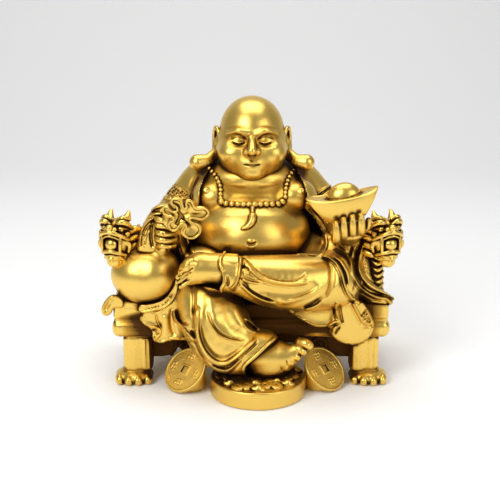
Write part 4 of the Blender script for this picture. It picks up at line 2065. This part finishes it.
@dataclass
class TreasureStand:
    """The low drum heaped with small coins and ingots, under the front foot."""

    radius: float = 47.8
    height: float = 17.0
    golden_turn: float = 2.399963
    block: Box = ((-45, -70, -86), (59, 36, -60))
    cell: float = 0.5
    budget: int = 30_000

    def clay(self) -> Clay:
        """Returns the stand's clay."""
        x, y = STAND_CENTRE
        drum = Drum((x, y, GROUND + self.height / 2), self.radius, self.height, 1.6)
        clay = shaped(*self.block, self.cell, [(drum, 0)])
        clay.add(Ring((x, y, STAND_TOP - 0.8), self.radius - 1.4, 1.4), 0.6)
        clay.cut(Drum((x, y, STAND_TOP + 1.4), self.radius - 3.2, 3.6, 0.6), 0.6)
        rng = np.random.default_rng(7)
        for piece in range(44):
            turn = piece * self.golden_turn
            reach = (self.radius - 9) * math.sqrt((piece + 4) / 47)
            px, py = x + reach * math.cos(turn), y + reach * math.sin(turn)
            z = STAND_TOP + rng.uniform(0.2, 1.6)
            lean = (float(rng.uniform(4, 26)), float(rng.uniform(-16, 16)), 0)
            if piece % 3:
                clay.add(Egg((px, py, z), (6.4, 6, 1.7), lean), 0.3)
                clay.cut(Brick((px, py, z + 1.8), (2.2, 2.2, 2.4), 0.2, lean), 0.2)
            else:
                clay.add(Egg((px, py, z), (7.2, 3.8, 2.4), lean), 0.3)
                clay.add(Egg((px, py, z + 1.6), (3, 2.6, 2.4), lean), 0.6)
        return clay.level(2, GROUND, False)

    def pieces(self) -> list[Casting]:
        """Returns the stand's casting."""
        return [Casting("stand", "treasure_stand", POLISHED, self.budget, self.clay())]


@dataclass
class Coin:
    """A big coin leaning on a small mound, with a square hole and worn strokes."""

    name: str
    node: str
    x: float
    y: float
    turn: float
    lean: float = 43.0
    radius: float = 24.5
    thickness: float = 4.0
    rim: float = 2.2
    hole: float = 7.5
    block: Box = ((-27, -27, -5), (27, 27, 5))
    mound_block: Box = ((-24, -26, -2), (24, 26, 30))
    cell: float = 0.4
    mound_cell: float = 0.8
    budget: int = 18_000
    mound_budget: int = 3_000

    def disc(self) -> Clay:
        """Returns the coin flat on the XY plane, its face up."""
        clay = Clay(*self.block, self.cell)
        clay.add(Drum((0, 0, 0), self.radius, self.thickness, 1))
        clay.cut(Drum((0, 0, self.thickness / 2 + 1.4), self.radius - self.rim, 4, 0.5), 0.4)
        frame_size = self.hole + 3.6
        clay.add(Brick((0, 0, 0.35), (frame_size, frame_size, self.thickness - 0.3), 0.6), 0.3)
        clay.cut(Brick((0, 0, 0), (self.hole, self.hole, 12), 0.4), 0.4)
        for quarter in range(4):
            self.strokes(clay, quarter)
        return clay

    def strokes(self, clay: Clay, quarter: int) -> None:
        """Adds one quarter's worn strokes."""
        turn = math.radians(90 * quarter)
        face = self.thickness / 2 - 0.7
        marks = (
            ((-3.6, 11.5), (3.4, 11.8)), ((-4.2, 14.6), (4, 14.4)), ((-3, 17.8), (3.2, 17.6)),
            ((-3.8, 11.5), (-3.4, 15.2)), ((0.2, 12.4), (0, 18.8)), ((3.4, 14.6), (3.2, 18.2)),
        )
        for start, stop in marks[quarter % 2 :]:
            ends = []
            for across, out in (start, stop):
                x = across * math.cos(turn) + out * math.sin(turn)
                y = -across * math.sin(turn) + out * math.cos(turn)
                ends.append((x, y, face))
            clay.add(Limb(ends, (0.62, 0.62)), 0.3)

    def mound(self) -> Clay:
        """Returns the mound behind the coin, in the coin's upright frame."""
        clay = Clay(*self.mound_block, self.mound_cell)
        clay.add(Egg((0, 6, 8), (self.radius * 0.72, 17.5, 19)))
        clay.level(2, 0, False)
        slope = math.radians(self.lean)
        normal = np.array([0, -math.cos(slope), math.sin(slope)])
        _, y, z = clay.axes
        plane = y[None, :, None] * normal[1] + (z[None, None, :] - self.lift()) * normal[2] + 0.4
        clay.field = np.maximum(clay.field, plane.astype(np.float32))
        return clay

    def lift(self) -> float:
        """Returns the height of the coin's middle above the ground."""
        slope = math.radians(self.lean)
        return self.radius * math.cos(slope) + self.thickness / 2 * math.sin(slope)

    def pieces(self) -> list[Casting]:
        """Returns the coin's castings."""
        upright = Matrix.Translation((self.x, self.y, GROUND)) @ Matrix.Rotation(math.radians(self.turn), 4, "Z")
        turn = Matrix.Rotation(math.radians(90 - self.lean), 4, "X")
        leant = upright @ Matrix.Translation((0, 0, self.lift())) @ turn
        return [
            Casting(self.name, self.node, COIN_BRASS, self.budget, self.disc(), leant),
            Casting(f"{self.name}_mound", self.node, COIN_BRASS, self.mound_budget, self.mound(), upright),
        ]


# Studio


@dataclass
class Studio:
    """The pale floor, the soft lights and the camera."""

    floor_size: float = 6.0
    floor_drop: float = 0.0004
    curve_start: float = 0.9
    curve_radius: float = 0.7
    curve_steps: int = 14
    wall_height: float = 3.2
    sensor: float = 36.0
    picture_width: float = 500.0
    clip_end: float = 50.0

    def floor(self) -> None:
        """Lays a pale floor that curves up behind."""
        reach, radius = self.floor_size / 2, self.curve_radius
        profile = [(-reach, 0.0), (self.curve_start, 0.0)]
        for i in range(1, self.curve_steps + 1):
            turn = math.radians(90 * i / self.curve_steps)
            profile.append((self.curve_start + radius * math.sin(turn), radius * (1 - math.cos(turn))))
        profile.append((self.curve_start + radius, self.wall_height))
        points = np.array([(x, y, z - self.floor_drop) for y, z in profile for x in (-reach, reach)])
        faces = np.array([(2 * i, 2 * i + 1, 2 * i + 3, 2 * i + 2) for i in range(len(profile) - 1)])
        mesh = mesh_of("floor", points, faces)
        mesh.polygons.foreach_set("use_smooth", np.ones(len(mesh.polygons), bool))
        shader = Shader("pale_floor")
        shader.surface("Base Color", (0.93, 0.93, 0.93, 1.0))
        shader.surface("Roughness", 0.75)
        shader.surface("Specular IOR Level", 0.15)
        mesh.materials.append(shader.material)
        floor = linked("floor", mesh)

    def light(self, name: str, place: Vec, target: Vec, size: Flat, power: float) -> None:
        """Adds a soft rectangular light.

        Args:
            name: The light's name.
            place: Where it hangs, in metres.
            target: What it points at, in metres.
            size: Its width and height in metres.
            power: Its power in watts.
        """
        data = bpy.data.lights.new(name, "AREA")
        data.shape = "RECTANGLE"
        data.size, data.size_y = size
        data.energy = power
        lamp = linked(name, data)
        lamp.location = place
        lamp.rotation_euler = (Vector(target) - Vector(place)).to_track_quat("-Z", "Y").to_euler()

    def lights(self) -> None:
        """Lights the ornament from above, both sides and the front."""
        middle = (0.0, 0.0, 0.13)
        self.light("key", (-0.75, -0.95, 1.05), middle, (0.7, 0.9), 13.0)
        self.light("fill", (1.0, -0.8, 0.7), middle, (0.8, 0.9), 5.0)
        self.light("top", (0.0, 0.2, 1.4), middle, (1.2, 0.9), 11.0)
        world = bpy.data.worlds.new("studio")
        world.use_nodes = True
        background = next(n for n in world.node_tree.nodes if n.type == "BACKGROUND")
        background.inputs["Color"].default_value = (1, 1, 1, 1)
        background.inputs["Strength"].default_value = 0.32
        bpy.context.scene.world = world
        bpy.context.scene.view_settings.view_transform = "Standard"

    def camera(self) -> None:
        """Sets the camera at the photograph's angle."""
        data = bpy.data.cameras.new("camera")
        data.sensor_width = self.sensor
        data.lens = self.sensor * SIGHT.distance / self.picture_width
        data.clip_end = self.clip_end
        view = linked("camera", data)
        view.location = tuple((SIGHT.eye + SEAT_IN_ROW) / MM)
        view.rotation_euler = (math.radians(90 - SIGHT.angle), 0, 0)
        bpy.context.scene.camera = view

    def build(self) -> None:
        """Makes the stage."""
        self.floor()
        self.lights()
        self.camera()


def main() -> None:
    """Models every piece, dresses it and sets the stage."""
    torso = Torso().pieces()
    robe = Robe().pieces()
    castings = [*Head().pieces(), *torso, *robe, *Hands().pieces(), *Feet().pieces(), *Sack().pieces()]
    castings += Ingot().pieces()
    castings += Beads().pieces([torso[0].clay, robe[0].clay, castings[0].clay])
    castings += Chair().pieces()
    castings += TreasureStand().pieces()
    castings += Coin("coin_left_disc", "coin_left", -66.0, -9.5, -43.0).pieces()
    castings += Coin("coin_right_disc", "coin_right", 74.0, -6.5, 47.0).pieces()
    total = sum(triangles(casting.cast().data) for casting in castings)
    log.info("%d pieces with %d triangles", len(castings), total)
    Studio().build()


if __name__ == "__main__":
    main()
